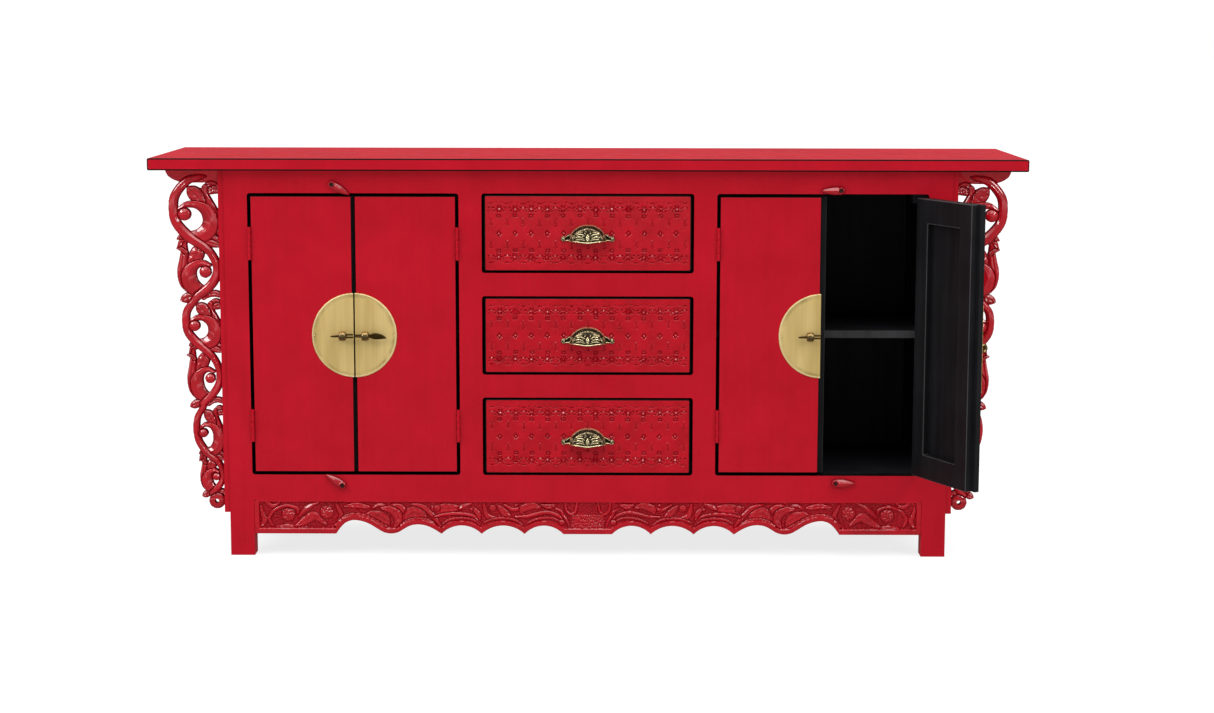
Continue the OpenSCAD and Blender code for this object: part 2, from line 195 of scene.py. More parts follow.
def carved_red(name, coat, hollow_shade, dry):
    """Thick glossy lacquer on carved wood: darker where the carving is deep, as painted shade, dull below the
    depth dry, and with painted pale highlights on tips that stand above the rest."""
    made, tree, shader = new_material(name)
    depth = carved(tree)
    clouds = span(tree, noise_at(tree, 30, detail=4), 0.35, 0.7)
    tone = mixed(tree, clouds, CARVED_RED, CARVED_DEEP_RED)
    # Painted shade: the tone darkens to the darkest red where the carving is deep.
    tone = mixed(tree, span(tree, depth, 0.05, 0.7, hollow_shade, 0.0), tone, OLD_RED_AND_SHADE)
    # Painted highlight: the tips that stand highest turn pale in spots.
    tips = times(tree, span(tree, depth, 1.2, 1.5), span(tree, noise_at(tree, 45), 0.42, 0.6))
    tone = mixed(tree, tips, tone, PAINTED_HIGHLIGHT_PALE)
    shine = span(tree, depth, dry, dry + 0.3, 0.05, coat)
    put(tree, shader, {"Base Color": tone, "Roughness": 0.4, "Coat Weight": shine})
    put(tree, shader, {"Coat IOR": 1.75, "Coat Roughness": 0.1})
    bump(tree, shader, span(tree, noise_at(tree, 240, detail=3), 0.3, 0.7), 0.0005)
    return made


def black_lacquer(name, colour, roughness):
    """Dull black paint with a faint grain of the wood under it."""
    made, tree, shader = new_material(name)
    grain = span(tree, noise_at(tree, 60, (1, 1, 0.05), detail=6), 0.3, 0.7)
    dust = span(tree, noise_at(tree, 12, detail=4), 0.4, 0.75)
    lighter = tuple(min(1, 2.2 * c + 0.004) for c in colour[:3]) + (1.0,)
    tone = mixed(tree, times(tree, grain, 0.35), colour, lighter)
    tone = mixed(tree, times(tree, dust, 0.3), tone, lighter)
    put(tree, shader, {"Base Color": tone, "Roughness": span(tree, dust, 0, 1, roughness, roughness + 0.12)})
    bump(tree, shader, grain, 0.0002)
    return made


def plain_wood():
    """Unpainted timber with long grain."""
    made, tree, shader = new_material("plain_wood")
    grain = span(tree, noise_at(tree, 70, (1, 0.06, 1), detail=6), 0.3, 0.7)
    patches = span(tree, noise_at(tree, 5), 0.3, 0.7)
    tone = mixed(tree, grain, rgb(150, 112, 74), rgb(112, 78, 48))
    tone = mixed(tree, times(tree, patches, 0.4), tone, rgb(170, 132, 92))
    put(tree, shader, {"Base Color": tone, "Roughness": 0.62})
    bump(tree, shader, grain, 0.0003)
    return made


def brushed_brass():
    """Satin brass with soft upright bands, a painted highlight on the raised rim and nail, and tarnish where
    it is sunk beside the rim.
    """
    made, tree, shader = new_material("brushed_brass")
    brush = span(tree, noise_at(tree, 320, (1, 1, 0.025), detail=4), 0.3, 0.7)
    bands = span(tree, noise_at(tree, 32, (1, 1, 0.12), detail=2), 0.38, 0.62)
    sunk, rim = span(tree, carved(tree), 0.725, 0.66), span(tree, carved(tree), 0.8, 0.95)
    tarnish = times(tree, sunk, span(tree, noise_at(tree, 30, detail=5), 0.4, 0.66))
    tone = mixed(tree, bands, rgb(244, 215, 146), rgb(224, 194, 124))
    tone = mixed(tree, times(tree, brush, 0.12), tone, rgb(170, 140, 78))
    tone = mixed(tree, times(tree, tarnish, 0.62), tone, rgb(132, 116, 68))
    # Painted highlight: the raised rim and the nail are painted near white.
    tone = mixed(tree, rim, tone, rgb(255, 246, 214))
    rough = span(tree, brush, 0, 1, 0.46, 0.58)
    put(tree, shader, {"Base Color": tone, "Metallic": 0.6, "Roughness": rough})
    bump(tree, shader, brush, 0.00006)
    return made


def old_brass(name, bright, dark, roughness):
    """Cast brass whose hollows are dark with patina and whose ridges are rubbed bright."""
    made, tree, shader = new_material(name)
    spots = span(tree, noise_at(tree, 420, detail=4), 0.3, 0.7, -0.16, 0.16)
    rubbed = span(tree, arithmetic(tree, "ADD", carved(tree), spots), 0.34, 0.78)
    put(tree, shader, {
        "Base Color": mixed(tree, rubbed, dark, bright),
        "Metallic": span(tree, rubbed, 0, 1, 0.7, 1.0),
        "Roughness": span(tree, rubbed, 0, 1, roughness + 0.22, roughness),
    })
    bump(tree, shader, spots, 0.0001)
    return made


def dark_steel():
    made, tree, shader = new_material("dark_steel")
    rust = span(tree, noise_at(tree, 500, detail=4), 0.4, 0.7)
    tone = mixed(tree, rust, rgb(74, 66, 62), rgb(48, 30, 26))
    put(tree, shader, {"Base Color": tone, "Metallic": 0.9, "Roughness": 0.45})
    return made


def floor_white():
    """A floor that glows almost white by itself and takes a soft, pale shadow."""
    made, tree, shader = new_material("studio_floor", gloss=0.0)
    put(tree, shader, {"Base Color": (0.22, 0.22, 0.22, 1), "Roughness": 0.8})
    put(tree, shader, {"Emission Color": (1, 1, 1, 1), "Emission Strength": 0.8})
    return made


lacquer = red_lacquer("red_lacquer", 0.36)
worn_edge_and_shaded_wall = red_lacquer("worn_edge_and_shaded_wall", 0.5, worn=True)
carved_lacquer = carved_red("carved_lacquer", 1.0, 0.75, 0.1)
apron_lacquer = carved_red("apron_lacquer", 0.7, 0.85, 0.42)
drawer_lacquer = carved_red("drawer_lacquer", 0.25, 0.6, 0.5)
post_inside = red_below(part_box("rail_bottom")[0].z)
gap_black = black_lacquer("gap_black", GAP_BLACK, 0.6)
inner_black = black_lacquer("inner_black", rgb(24, 24, 28), 0.5)
frame_black = black_lacquer("frame_black", rgb(18, 18, 20), 0.42)
grey_edge = black_lacquer("grey_edge", rgb(50, 50, 51), 0.5)
timber = plain_wood()
brass = brushed_brass()
cup_brass = old_brass("cup_brass", rgb(240, 224, 176), rgb(40, 32, 20), 0.27)
eye_brass = old_brass("eye_brass", rgb(172, 146, 98), rgb(60, 46, 28), 0.2)
pin_bronze = old_brass("pin_bronze", rgb(100, 78, 42), rgb(40, 30, 17), 0.3)
steel = dark_steel()


# ---------------------------------------------------------------- carving on a grid

def smooth_path(points, steps=6):
    """A Catmull-Rom path through points of any number of columns."""
    p = np.array(points, float)
    padded = np.vstack([2 * p[0] - p[1], p, 2 * p[-1] - p[-2]])
    t = (np.arange(steps) / steps)[:, None]
    parts = [
        0.5 * (2 * b + (c - a) * t + (2 * a - 5 * b + 4 * c - d) * t**2 + (3 * b - a - 3 * c + d) * t**3)
        for a, b, c, d in zip(padded, padded[1:], padded[2:], padded[3:])
    ]
    return np.vstack([*parts, p[-1:]])


def rounded(q, side, along):
    """A half-round stem: q is 0 on the middle line and 1 at the edge."""
    return np.sqrt(np.clip(1 - q * q, 0, 1))


def leafy(q, side, along):
    """A leaf with a sunk midrib and a lip along each edge."""
    return np.sqrt(np.clip(1 - q * q, 0, 1)) * (0.7 + 0.3 * np.clip(np.abs(q) / 0.35, 0, 1))


def veined(q, side, along):
    """A leaf with slanting veins on both sides of its midrib."""
    veins = 0.5 + 0.5 * np.cos(26 * along - 5 * q)
    return leafy(q, side, along) * (0.82 + 0.18 * veins)


def scooped(q, side, along):
    """A blade that slopes down to the inner side of its curve, with a hollow on its outer side."""
    slope = np.where(side > 0, 0.97 - 0.76 * q, 0.97 - 0.2 * np.sin(2.6 * q))
    return np.sqrt(np.clip(1 - q**8, 0, 1)) * slope


def keeled(q, side, along):
    """A blade with two plane slopes that meet in a keel."""
    return 1 - 0.75 * q


def beaded(q, side, along):
    """A ribbon of small beads."""
    return rounded(q, side, along) * (0.86 + 0.14 * np.cos(75 * along))


def ridged(q, side, along):
    """A stem with a raised ridge on one side of its middle."""
    return rounded(q, side, along) * (0.82 + 0.18 * np.exp(-(((side * q - 0.35) / 0.16) ** 2)))


class Relief:
    """A carving on a grid in millimetres: how far each point is inside the outline, and its height."""

    def __init__(self, x0, x1, z0, z1, pitch):
        count_x = max(2, round((x1 - x0) / pitch))
        count_z = max(2, round((z1 - z0) / pitch))
        self.x, self.z = np.meshgrid(
            np.linspace(x0, x1, count_x + 1), np.linspace(z0, z1, count_z + 1), indexing="ij"
        )
        self.step = (self.x[1, 0] - self.x[0, 0], self.z[0, 1] - self.z[0, 0])
        self.inside = np.full(self.x.shape, -99.0)
        self.height = np.zeros(self.x.shape)

    def _window(self, x0, x1, z0, z1):
        """The grid's part between those bounds."""
        at = []
        for line, low, high in ((self.x[:, 0], x0, x1), (self.z[0], z0, z1)):
            start = int(np.searchsorted(line, low))
            at.append(slice(start, max(start + 1, int(np.searchsorted(line, high)))))
        return tuple(at)

    def stroke(self, points, profile=rounded, rise=8.0, base=0.0, groove=1.4, cut=True, steps=6):
        """Adds a band along points [x, z, width] with that cross-section, and a groove round it.

        Where cut is true the band also belongs to the outline.
        """
        path = smooth_path(points, steps)
        a, b = path[:-1], path[1:]
        margin = path[:, 2].max() / 2 + 2 + groove
        low, high = path[:, :2].min(0) - margin, path[:, :2].max(0) + margin
        at = self._window(low[0], high[0], low[1], high[1])
        x, z = self.x[at][..., None], self.z[at][..., None]
        dx, dz = b[:, 0] - a[:, 0], b[:, 1] - a[:, 1]
        length2 = dx * dx + dz * dz + 1e-9
        t = np.clip(((x - a[:, 0]) * dx + (z - a[:, 1]) * dz) / length2, 0, 1)
        away = np.hypot(x - a[:, 0] - t * dx, z - a[:, 1] - t * dz)
        half = (a[:, 2] + t * (b[:, 2] - a[:, 2])) / 2
        nearest = np.argmax(half - away, -1)[..., None]

        def pick(values):
            return np.take_along_axis(np.broadcast_to(values, away.shape), nearest, -1)[..., 0]

        depth, half_here = pick(half - away), pick(half)
        cross = (x - a[:, 0]) * dz - (z - a[:, 1]) * dx
        along = pick(np.arange(len(a)) + t) / len(a)
        q = np.clip(1 - depth / np.maximum(half_here, 0.01), 0, 1)
        shape = profile(q, np.sign(pick(cross)), along)
        edge = np.clip(-depth / groove, 0, 1)
        lowered = self.height[at] * (0.35 + 0.65 * edge)
        made = np.where(depth > 0, base + rise * shape, lowered)
        self.height[at] = np.where(depth > 0, np.maximum(made, 0.0), made)
        if cut:
            self.inside[at] = np.maximum(self.inside[at], depth)

    def dome(self, x, z, r, rise, base=0.0, ring=0.0, cut=True):
        """Adds a ball or a boss, with a ring line round its middle where ring is above 0."""
        at = self._window(x - r - 2, x + r + 2, z - r - 2, z + r + 2)
        away = np.hypot(self.x[at] - x, self.z[at] - z)
        shape = np.sqrt(np.clip(1 - (away / r) ** 2, 0, 1))
        shape = shape - ring * np.exp(-(((away / r - 0.62) / 0.12) ** 2))
        near = np.clip((away - r) / 1.4, 0, 1)
        self.height[at] = np.where(away < r, base + rise * shape, self.height[at] * (0.35 + 0.65 * near))
        if cut:
            self.inside[at] = np.maximum(self.inside[at], r - away)

    def piece(self, name, to_world, back, top=None, plain_back=False, reach=None, rim=0.0):
        """A closed mesh: the relief in front, straight walls, and a flat back.

        to_world turns grid x, grid z and height into coordinates in metres, and back is the height of
        the back. The attribute carved is 1 at the height top and 0 at reach below it. The walls, the
        back and a rim of that width have material slot 1. plain_back makes the back one face, for an
        outline with no holes.
        """
        inside, (step_x, step_z) = self.inside, self.step
        slope_x, slope_z = np.gradient(inside, step_x, step_z)
        steep = np.maximum(np.hypot(slope_x, slope_z), 0.3)
        near = np.abs(inside) / steep < 0.525 * max(step_x, step_z)

        def moved(line, slope):
            """Grid lines pulled onto the outline where they are near it."""
            return np.clip(line - np.where(near, inside * slope / steep**2, 0), line.min(), line.max())

        x, z = moved(self.x, slope_x), moved(self.z, slope_z)
        good, solid = (inside > 0) | near, inside > 0
        number = np.arange(inside.size).reshape(inside.shape)

        def corners(values):
            parts = (values[:-1, :-1], values[1:, :-1], values[1:, 1:], values[:-1, 1:])
            return np.stack([part.ravel() for part in parts], 1)

        corner, fine, some = corners(number), corners(good), corners(solid).any(1)
        count = fine.sum(1)
        quads = corner[(count == 4) & some]
        three = (count == 3) & some
        triangles = corner[three][fine[three]].reshape(-1, 3)
        used = np.unique(np.concatenate([quads.ravel(), triangles.ravel()]))
        slot = np.full(inside.size, -1)
        slot[used] = np.arange(len(used))
        quads, triangles = slot[quads], slot[triangles]
        n = len(used)
        edges = np.concatenate([
            faces[:, [k, (k + 1) % sides]]
            for faces, sides in ((quads, 4), (triangles, 3))
            for k in range(sides)
        ])
        outer = edges[~np.isin(edges[:, 0] * n + edges[:, 1], edges[:, 1] * n + edges[:, 0])]
        height = self.height.ravel()[used]
        flat = (x.ravel()[used], z.ravel()[used])
        front = to_world(*flat, height)
        fronts = quads.tolist() + triangles.tolist()
        if plain_back:
            border = np.unique(outer)
            behind = to_world(flat[0][border], flat[1][border], np.full(len(border), float(back)))
            low = np.full(n, -1)
            low[border] = n + np.arange(len(border))
            backs = [[int(low[v]) for v in reversed(loop)] for loop in loops_of(outer)]
        else:
            behind = to_world(*flat, np.full(n, float(back)))
            low = n + np.arange(n)
            backs = [[v + n for v in reversed(face)] for face in fronts]
        walls = np.stack([outer[:, 1], outer[:, 0], low[outer[:, 0]], low[outer[:, 1]]], 1).tolist()
        mesh = bpy.data.meshes.new(name)
        mesh.from_pydata(np.vstack([front, behind]).tolist(), [], fronts + backs + walls)
        top = height.max() if top is None else top
        share = np.clip(1 - (top - height) / (reach or top), 0, 2)
        set_carved(mesh, np.concatenate([share, np.zeros(len(behind))]))
        slots = np.ones(len(mesh.polygons), np.int32)
        within = inside.ravel()[used]
        slots[: len(fronts)] = [within[face].mean() < rim for face in fronts]
        mesh.polygons.foreach_set("material_index", slots)
        return finish_mesh(mesh)


def loops_of(edges):
    """The closed loops that directed edges make."""
    after = {int(a): int(b) for a, b in edges}
    loops = []
    while after:
        start, at = after.popitem()
        loop = [start]
        while at != start:
            loop.append(at)
            at = after.pop(at)
        loops.append(loop)
    return loops


def set_carved(mesh, values):
    """Gives a mesh's points the attribute that carved materials read."""
    values = np.asarray(values, np.float32)
    mesh.attributes.new("carved", "FLOAT", "POINT").data.foreach_set("value", values)


def joint(name):
    return next(j for j in frame["joints"] if j["name"] == name)


def ease(piece, width, edge_slot=-1):
    """Rounds a piece's sharp edges, and gives them that material slot where there is one."""
    made = piece.modifiers.new("ease", "BEVEL")
    made.width = width
    made.segments = 2
    made.limit_method = "ANGLE"
    made.angle_limit = math.radians(50)
    made.harden_normals = True
    made.material = edge_slot


def finish_mesh(mesh, angle=38):
    """Doubled points merged, faces outwards, smooth shading, and sharp edges above that angle."""
    work = bmesh.new()
    work.from_mesh(mesh)
    bmesh.ops.remove_doubles(work, verts=work.verts, dist=1e-6)
    bmesh.ops.recalc_face_normals(work, faces=work.faces)
    work.to_mesh(mesh)
    work.free()
    mesh.polygons.foreach_set("use_smooth", [True] * len(mesh.polygons))
    mesh.set_sharp_from_angle(angle=math.radians(angle))
    return mesh


def show(name, mesh, materials, body, slot, *replaced):
    """A piece with that mesh on that CAD body, standing for the CAD nodes named last."""
    made = bpy.data.objects.new(name, mesh)
    bpy.context.scene.collection.objects.link(made)
    for material in materials:
        mesh.materials.append(material)
    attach(made, body)
    if replaced:
        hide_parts(*replaced)
    return made


# ---------------------------------------------------------------- CAD boards

def dress(node, bevel, rule, materials, edge=None):
    """Gives a CAD node its materials by a rule for its faces, and eased edges of another material."""
    piece = NODES[node]
    mesh = piece.data
    mesh.materials.clear()
    for material in materials + ([edge] if edge else []):
        mesh.materials.append(material)
    for face in mesh.polygons:
        face.material_index = rule(face.normal, face.center)
    if bevel > 0:
        weld = piece.modifiers.new("weld", "WELD")
        weld.merge_threshold = 0.00001
        ease(piece, bevel, len(materials) if edge else -1)


def always(normal, centre):
    return 0


def panel_rule(normal, centre):
    """A side panel is red outside and black inside."""
    return 1 if normal.x * centre.x < 0 and abs(normal.x) > 0.7 else 0


def shelf_rule(normal, centre):
    """The front edge of a shelf is rubbed grey."""
    return 1 if normal.y < -0.7 else 0


def post_rule(normal, centre):
    """A back post's sides towards the inside are black above the foot."""
    return 1 if normal.x * centre.x < -0.1 or normal.y < -0.7 else 0


def dress_boards():
    reds = [lacquer, gap_black]
    dress("top_board", 0.0028, always, [lacquer], edge=gap_black)
    for side in ("left", "right"):
        dress(f"side_panel_{side}", 0.0008, panel_rule, reds)
        dress(f"post_back_{side}", 0.0014, post_rule, [lacquer, post_inside], edge=post_inside)
        dress(f"partition_{side}", 0, always, [inner_black])
        dress(f"shelf_{side}", 0.0012, shelf_rule, [inner_black, grey_edge], edge=grey_edge)
    for node in ("back_panel", "bottom_board", "cleats", "drawer_runners"):
        dress(node, 0, always, [inner_black])
    dress("hinge_frame_leaves", 0.0002, always, [lacquer])
    dress("button_screws", 0.0003, always, [steel])


def door_angle(i):
    """How far door i stands open at rest. Door 4 does, by the way back to its lower limit."""
    if i != 4:
        return 0.0
    hinge = joint(f"door_{i}_hinge")
    return math.radians(-hinge["range_deg"][0]) * hinge["axis"][2]


def dress_doors():
    for i in door_numbers:
        turn = Matrix.Rotation(door_angle(i), 3, "Z")

        def board_rule(normal, centre):
            return 0 if (turn.transposed() @ normal).y < -0.7 else 1

        # Painted shade: a closed door's edges stand in the gap and take the darker gap black; the open door's
        # take the frame's black.
        sides = frame_black if door_angle(i) else gap_black
        dress(f"door_{i}_board", 0.0013, board_rule, [lacquer, sides], edge=sides)
        dress(f"door_{i}_frame", 0.0015, always, [frame_black], edge=grey_edge)
        dress(f"door_{i}_hinge_leaves", 0.0002, always, [lacquer])


# ---------------------------------------------------------------- brackets

# The scrolls of a bracket from the top down: where each begins and the last one ends, and how wide each is.
SCROLL_Z = [790, 662, 545, 440, 322, 212, 130]
SCROLL_U = [100, 85, 78, 70, 60, 48]
# A part of a scroll: its points [across, down, width] in shares of the scroll, its profile and its rise.
EVEN_SCROLL = [
    ([[0, 0.17, 9], [0.07, 0.11, 11], [0.17, 0.1, 12], [0.28, 0.16, 13]], leafy, 6.5),
    ([[0, 0.2, 12], [0.1, 0.19, 17], [0.22, 0.24, 8]], veined, 6),
    ([[0.27, 0.14, 11], [0.29, 0.27, 16], [0.21, 0.44, 22], [0.12, 0.6, 25], [0.03, 0.77, 20], [0, 0.88, 12]],
     leafy, 7),
    ([[0.33, 0.46, 11], [0.34, 0.34, 17], [0.4, 0.2, 9]], veined, 6.5),
    ([[0.32, 0.47, 13], [0.4, 0.34, 23], [0.5, 0.25, 27], [0.62, 0.16, 7]], veined, 7),
    ([[0.66, 1.0, 11], [0.76, 1.03, 15], [0.86, 1.12, 4]], leafy, 6),
    ([[0.7, 0.94, 10], [0.79, 0.95, 11], [0.87, 0.985, 3]], leafy, 5),
    ([[0.36, 1.0, 15], [0.18, 0.98, 21], [0, 1.02, 13]], veined, 6.5),
    ([[0.3, 1.02, 12], [0.14, 1.06, 15], [0, 1.09, 8]], leafy, 6),
    ([[0.6, 0.94, 18], [0.4, 0.93, 27], [0.23, 0.84, 32], [0.17, 0.7, 31], [0.24, 0.54, 25], [0.43, 0.44, 16],
      [0.66, 0.43, 12], [0.81, 0.5, 8]], scooped, 8),
]
ODD_SCROLL = [
    ([[0.5, 0.13, 14], [0.55, 0.24, 30], [0.64, 0.375, 26], [0.73, 0.52, 15]], veined, 7),
    ([[0.84, 0.06, 7], [0.86, 0.2, 14], [0.89, 0.375, 18], [0.93, 0.57, 20], [0.88, 0.78, 18],
      [0.7, 0.93, 12]], leafy, 7),
    ([[0.82, 0.22, 10], [0.92, 0.165, 10], [1.04, 0.15, 3]], leafy, 5.5),
    ([[0.64, 0.985, 14], [0.82, 1.03, 21], [0.97, 1.07, 4]], veined, 6.5),
    ([[0.42, 1.04, 8], [0.32, 0.98, 12], [0.15, 0.95, 14], [0, 0.98, 12]], leafy, 6),
    ([[0.25, 0.45, 8], [0.45, 0.41, 14], [0.66, 0.48, 21], [0.76, 0.61, 30], [0.72, 0.77, 32],
      [0.56, 0.88, 27], [0.38, 0.91, 20]], scooped, 8),
]
# The stem that winds through all scrolls, and the ball at the end of each scroll's hook.
STEM_START = [[0.26, -0.03, 4], [0.42, -0.01, 12]]
EVEN_STEM = [[0.67, 0.065, 16], [0.9, 0.285, 17], [0.94, 0.52, 17.5], [0.885, 0.72, 18], [0.7, 0.9, 19],
             [0.54, 1, 19]]
ODD_STEM = [[0.36, 0.13, 17], [0.19, 0.27, 16], [0.08, 0.46, 17], [0.1, 0.64, 18], [0.26, 0.82, 19],
            [0.56, 1, 18]]
EVEN = (EVEN_SCROLL, EVEN_STEM, [0.71, 0.585, 12.2])
ODD = (ODD_SCROLL, ODD_STEM, [0.36, 0.565, 12.2])


def bracket_relief():
    """The pierced scrolls of one bracket, with x counted outwards from the side panel."""
    low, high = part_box("bracket_right")
    top = high.z / MM
    relief = Relief(0, (high.x - low.x) / MM, low.z / MM, top, 1.1)

    def on_scroll(i, points):
        """Points given in shares of scroll i, in millimetres, with widths that shrink downwards."""
        wide, start, drop = SCROLL_U[i], SCROLL_Z[i], SCROLL_Z[i + 1] - SCROLL_Z[i]
        return [[u * wide, start + drop * v, 1.1 * w * (1 - 0.07 * i)] for u, v, w in points]

    sag = 27 * np.sqrt(np.clip(1 - (np.clip(relief.x - 62, 0, None) / 46) ** 2, 0, 1))
    cloud = sag - (top - relief.z)
    relief.inside = np.maximum(relief.inside, cloud)
    waves = 0.3 * np.cos(relief.x / 4.5 + cloud / 5) * np.clip(cloud / 6, 0, 1)
    swell = 3.4 + 1.6 * np.sqrt(np.clip(cloud / 3, 0, 1)) + 0.13 * cloud + waves
    relief.height = np.where(cloud > 0, swell, 0)
    stem, balls = on_scroll(0, STEM_START), []
    for i in range(len(SCROLL_U)):
        vines, stem_part, ball = ODD if i % 2 else EVEN
        for points, profile, rise in vines:
            relief.stroke(on_scroll(i, points), profile, rise, 0.6 if profile is scooped else 0.0)
        stem += on_scroll(i, stem_part)
        balls += on_scroll(i, [ball])
    relief.stroke(stem, ridged, 8, 1)
    for x, z, r in balls:
        relief.dome(x, z, r, 8, 1.0, ring=0.06)
    ring_x, ring_z, ring_r, hole_r = 16.5, 114, 17, 4.5
    relief.dome(ring_x, ring_z, ring_r, 6, 1)
    hole = np.hypot(relief.x - ring_x, relief.z - ring_z) - hole_r
    border = np.minimum.reduce([
        relief.x - relief.x.min(), relief.x.max() - relief.x,
        relief.z - relief.z.min(), relief.z.max() - relief.z,
    ])
    relief.inside = np.minimum.reduce([relief.inside, hole, border + 0.01])
    return relief


def carve_brackets():
    relief = bracket_relief()
    top = 9.0
    for side, name in ((-1, "bracket_left"), (1, "bracket_right")):
        low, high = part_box(name)
        panel_x = low.x if side > 0 else high.x

        def to_world(x, z, height):
            y = low.y + (top - np.minimum(height, top)) * MM
            return np.stack([panel_x + side * x * MM, y, z * MM], 1)

        mesh = relief.piece(f"{name}_carving", to_world, top - (high.y - low.y) / MM, top)
        # The walls keep the dark scuffed red-black, which is partly painted shade inside the piercing; the
        # backs take plain red.
        for face in mesh.polygons:
            if face.material_index == 1 and face.normal.y > 0.9:
                face.material_index = 2
        show(f"{name}_carving", mesh, [carved_lacquer, worn_edge_and_shaded_wall, lacquer], "carcass", "carved_lacquer", name)


# ---------------------------------------------------------------- tubes

def tube(points, radii, sides=14):
    """Rings round a path, closed at both ends, as (vertices, faces)."""
    path = [Vector(p) for p in points]
    last = len(path) - 1
    vertices, faces = [], []
    side = None
    for k, point in enumerate(path):
        along = (path[min(k + 1, last)] - path[max(k - 1, 0)]).normalized()
        side = (side if side is not None else along.orthogonal()).normalized()
        side = (side - along * side.dot(along)).normalized()
        across = along.cross(side)
        for j in range(sides):
            turn = 2 * math.pi * j / sides
            vertices.append(point + (side * math.cos(turn) + across * math.sin(turn)) * radii[k])
            if k < last:
                here, after = k * sides, (k + 1) * sides
                faces.append([here + j, here + (j + 1) % sides, after + (j + 1) % sides, after + j])
    faces.append(list(reversed(range(sides))))
    faces.append([last * sides + j for j in range(sides)])
    return vertices, faces


def joined(name, parts, level, move):
    """One mesh from several (vertices, faces), each vertex moved, with one value of the attribute carved."""
    vertices, faces = [], []
    for part_vertices, part_faces in parts:
        start = len(vertices)
        vertices += [move(*v) for v in part_vertices]
        faces += [[v + start for v in face] for face in part_faces]
    mesh = bpy.data.meshes.new(name)
    mesh.from_pydata(vertices, [], faces)
    set_carved(mesh, np.full(len(vertices), level))
    return finish_mesh(mesh)


def rounded_bar(start, end, r):
    """A bar with domed ends."""
    start, end = Vector(start), Vector(end)
    way = (end - start).normalized()
    ends = [(0, 0.25), (0.15, 0.7), (0.5, 0.95), (1.0, 1.0)]
    points = [start + way * r * a for a, _ in ends] + [end - way * r * a for a, _ in reversed(ends)]
    sizes = [r * b for _, b in ends]
    return tube(points, sizes + sizes[::-1])


# ---------------------------------------------------------------- face frame

def lattice(name, xs, ys, zs, filled, round_corner):
    """A closed mesh of the filled cells of a grid of planes, with the corners of its openings rounded."""
    work = bmesh.new()
    lines, corners = (xs, ys, zs), {}
    sizes = [len(line) - 1 for line in lines]

    def vertex(i, j, k):
        if (i, j, k) not in corners:
            corners[i, j, k] = work.verts.new((xs[i], ys[j], zs[k]))
        return corners[i, j, k]

    def is_filled(cell):
        if not all(0 <= c < size for c, size in zip(cell, sizes)):
            return False
        return filled(*[(line[c] + line[c + 1]) / 2 for c, line in zip(cell, lines)])

    for cell in np.ndindex(*sizes):
        if not is_filled(cell):
            continue
        for axis in range(3):
            for side in (0, 1):
                beside = list(cell)
                beside[axis] += 2 * side - 1
                if is_filled(beside):
                    continue
                u, v = [a for a in range(3) if a != axis]
                quad = []
                for du, dv in ((0, 0), (1, 0), (1, 1), (0, 1)):
                    at = list(cell)
                    at[axis] += side
                    at[u] += du
                    at[v] += dv
                    quad.append(vertex(*at))
                work.faces.new(quad)
    bmesh.ops.recalc_face_normals(work, faces=work.faces)
    bmesh.ops.dissolve_limit(work, angle_limit=0.01, verts=work.verts, edges=work.edges)
    inner = [
        e for e in work.edges
        if abs(e.verts[0].co.y - e.verts[1].co.y) > 1e-5 and len(e.link_faces) == 2 and not e.is_convex
    ]
    bmesh.ops.bevel(work, geom=inner, offset=round_corner, segments=5, profile=0.5, affect="EDGES")
    mesh = bpy.data.meshes.new(name)
    work.to_mesh(mesh)
    work.free()
    return mesh


def build_face_frame():
    """The posts, rails and stiles as one joined frame, painted black inside its openings."""
    post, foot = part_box("post_front_right")[1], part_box("apron")[1].x
    rail_low, rail_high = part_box("rail_bottom"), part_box("rail_top")
    opening, (stile_in, stile_out) = rail_high[1].x, [corner.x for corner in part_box("stile_right")]
    drawer_low, drawer_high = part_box("drawer_rails")
    rail_h = (drawer_high.z - drawer_low.z - (rail_high[0].z - drawer_high.z)) / 2
    sides = [post.x, opening, foot, stile_out, stile_in]
    xs = [-v for v in sides] + sides[::-1]
    ys = [front_y, rail_low[1].y, post.y]
    zs = [0.0, rail_low[0].z, rail_low[1].z, drawer_low.z, drawer_low.z + rail_h,
          drawer_high.z - rail_h, drawer_high.z, rail_high[0].z, rail_high[1].z]

    def filled(x, y, z):
        across = abs(x)
        if y > ys[1]:
            return across > (foot if z < zs[1] else opening)
        if z < zs[1]:
            return across > foot
        if across > opening or z < zs[2] or z > zs[7]:
            return True
        if across > stile_out:
            return False
        return across > stile_in or zs[3] < z < zs[4] or zs[5] < z < zs[6]

    mesh = lattice("face_frame", xs, ys, zs, filled, round_corner=0.006)
    for face in mesh.polygons:
        x, _, z = face.center
        in_opening = abs(x) < opening + MM and zs[2] - MM < z < zs[7] + MM
        if face.normal.y > 0.5:
            face.material_index = 3
        else:
            face.material_index = 1 if in_opening and face.normal.y > -0.5 else 0
    materials = [lacquer, gap_black, worn_edge_and_shaded_wall, post_inside]
    made = show("face_frame", mesh, materials, "carcass", "red_lacquer", "post_front_left",
                "post_front_right", "rail_top", "rail_bottom", "stile_left", "stile_right", "drawer_rails")
    ease(made, 0.0011, edge_slot=2)


# ---------------------------------------------------------------- apron

# The lower edge's round arches, and the wave beside them as points [distance from the middle, rise].
ARCH_ENDS = [51, 132, 222, 306]
ARCH_RISE = 18
WAVE = [
    (306, 0), (321, 9.8), (338, 17.4), (354, 20), (370, 18), (383, 11.5), (393, 5.2), (402, 1.7), (412, 0.6),
    (422, 1.7), (431, 5.2), (443, 12.5), (457, 21), (473, 26.9), (488, 29), (499, 27.2), (509, 22),
    (519, 11.5), (527, 0),
]


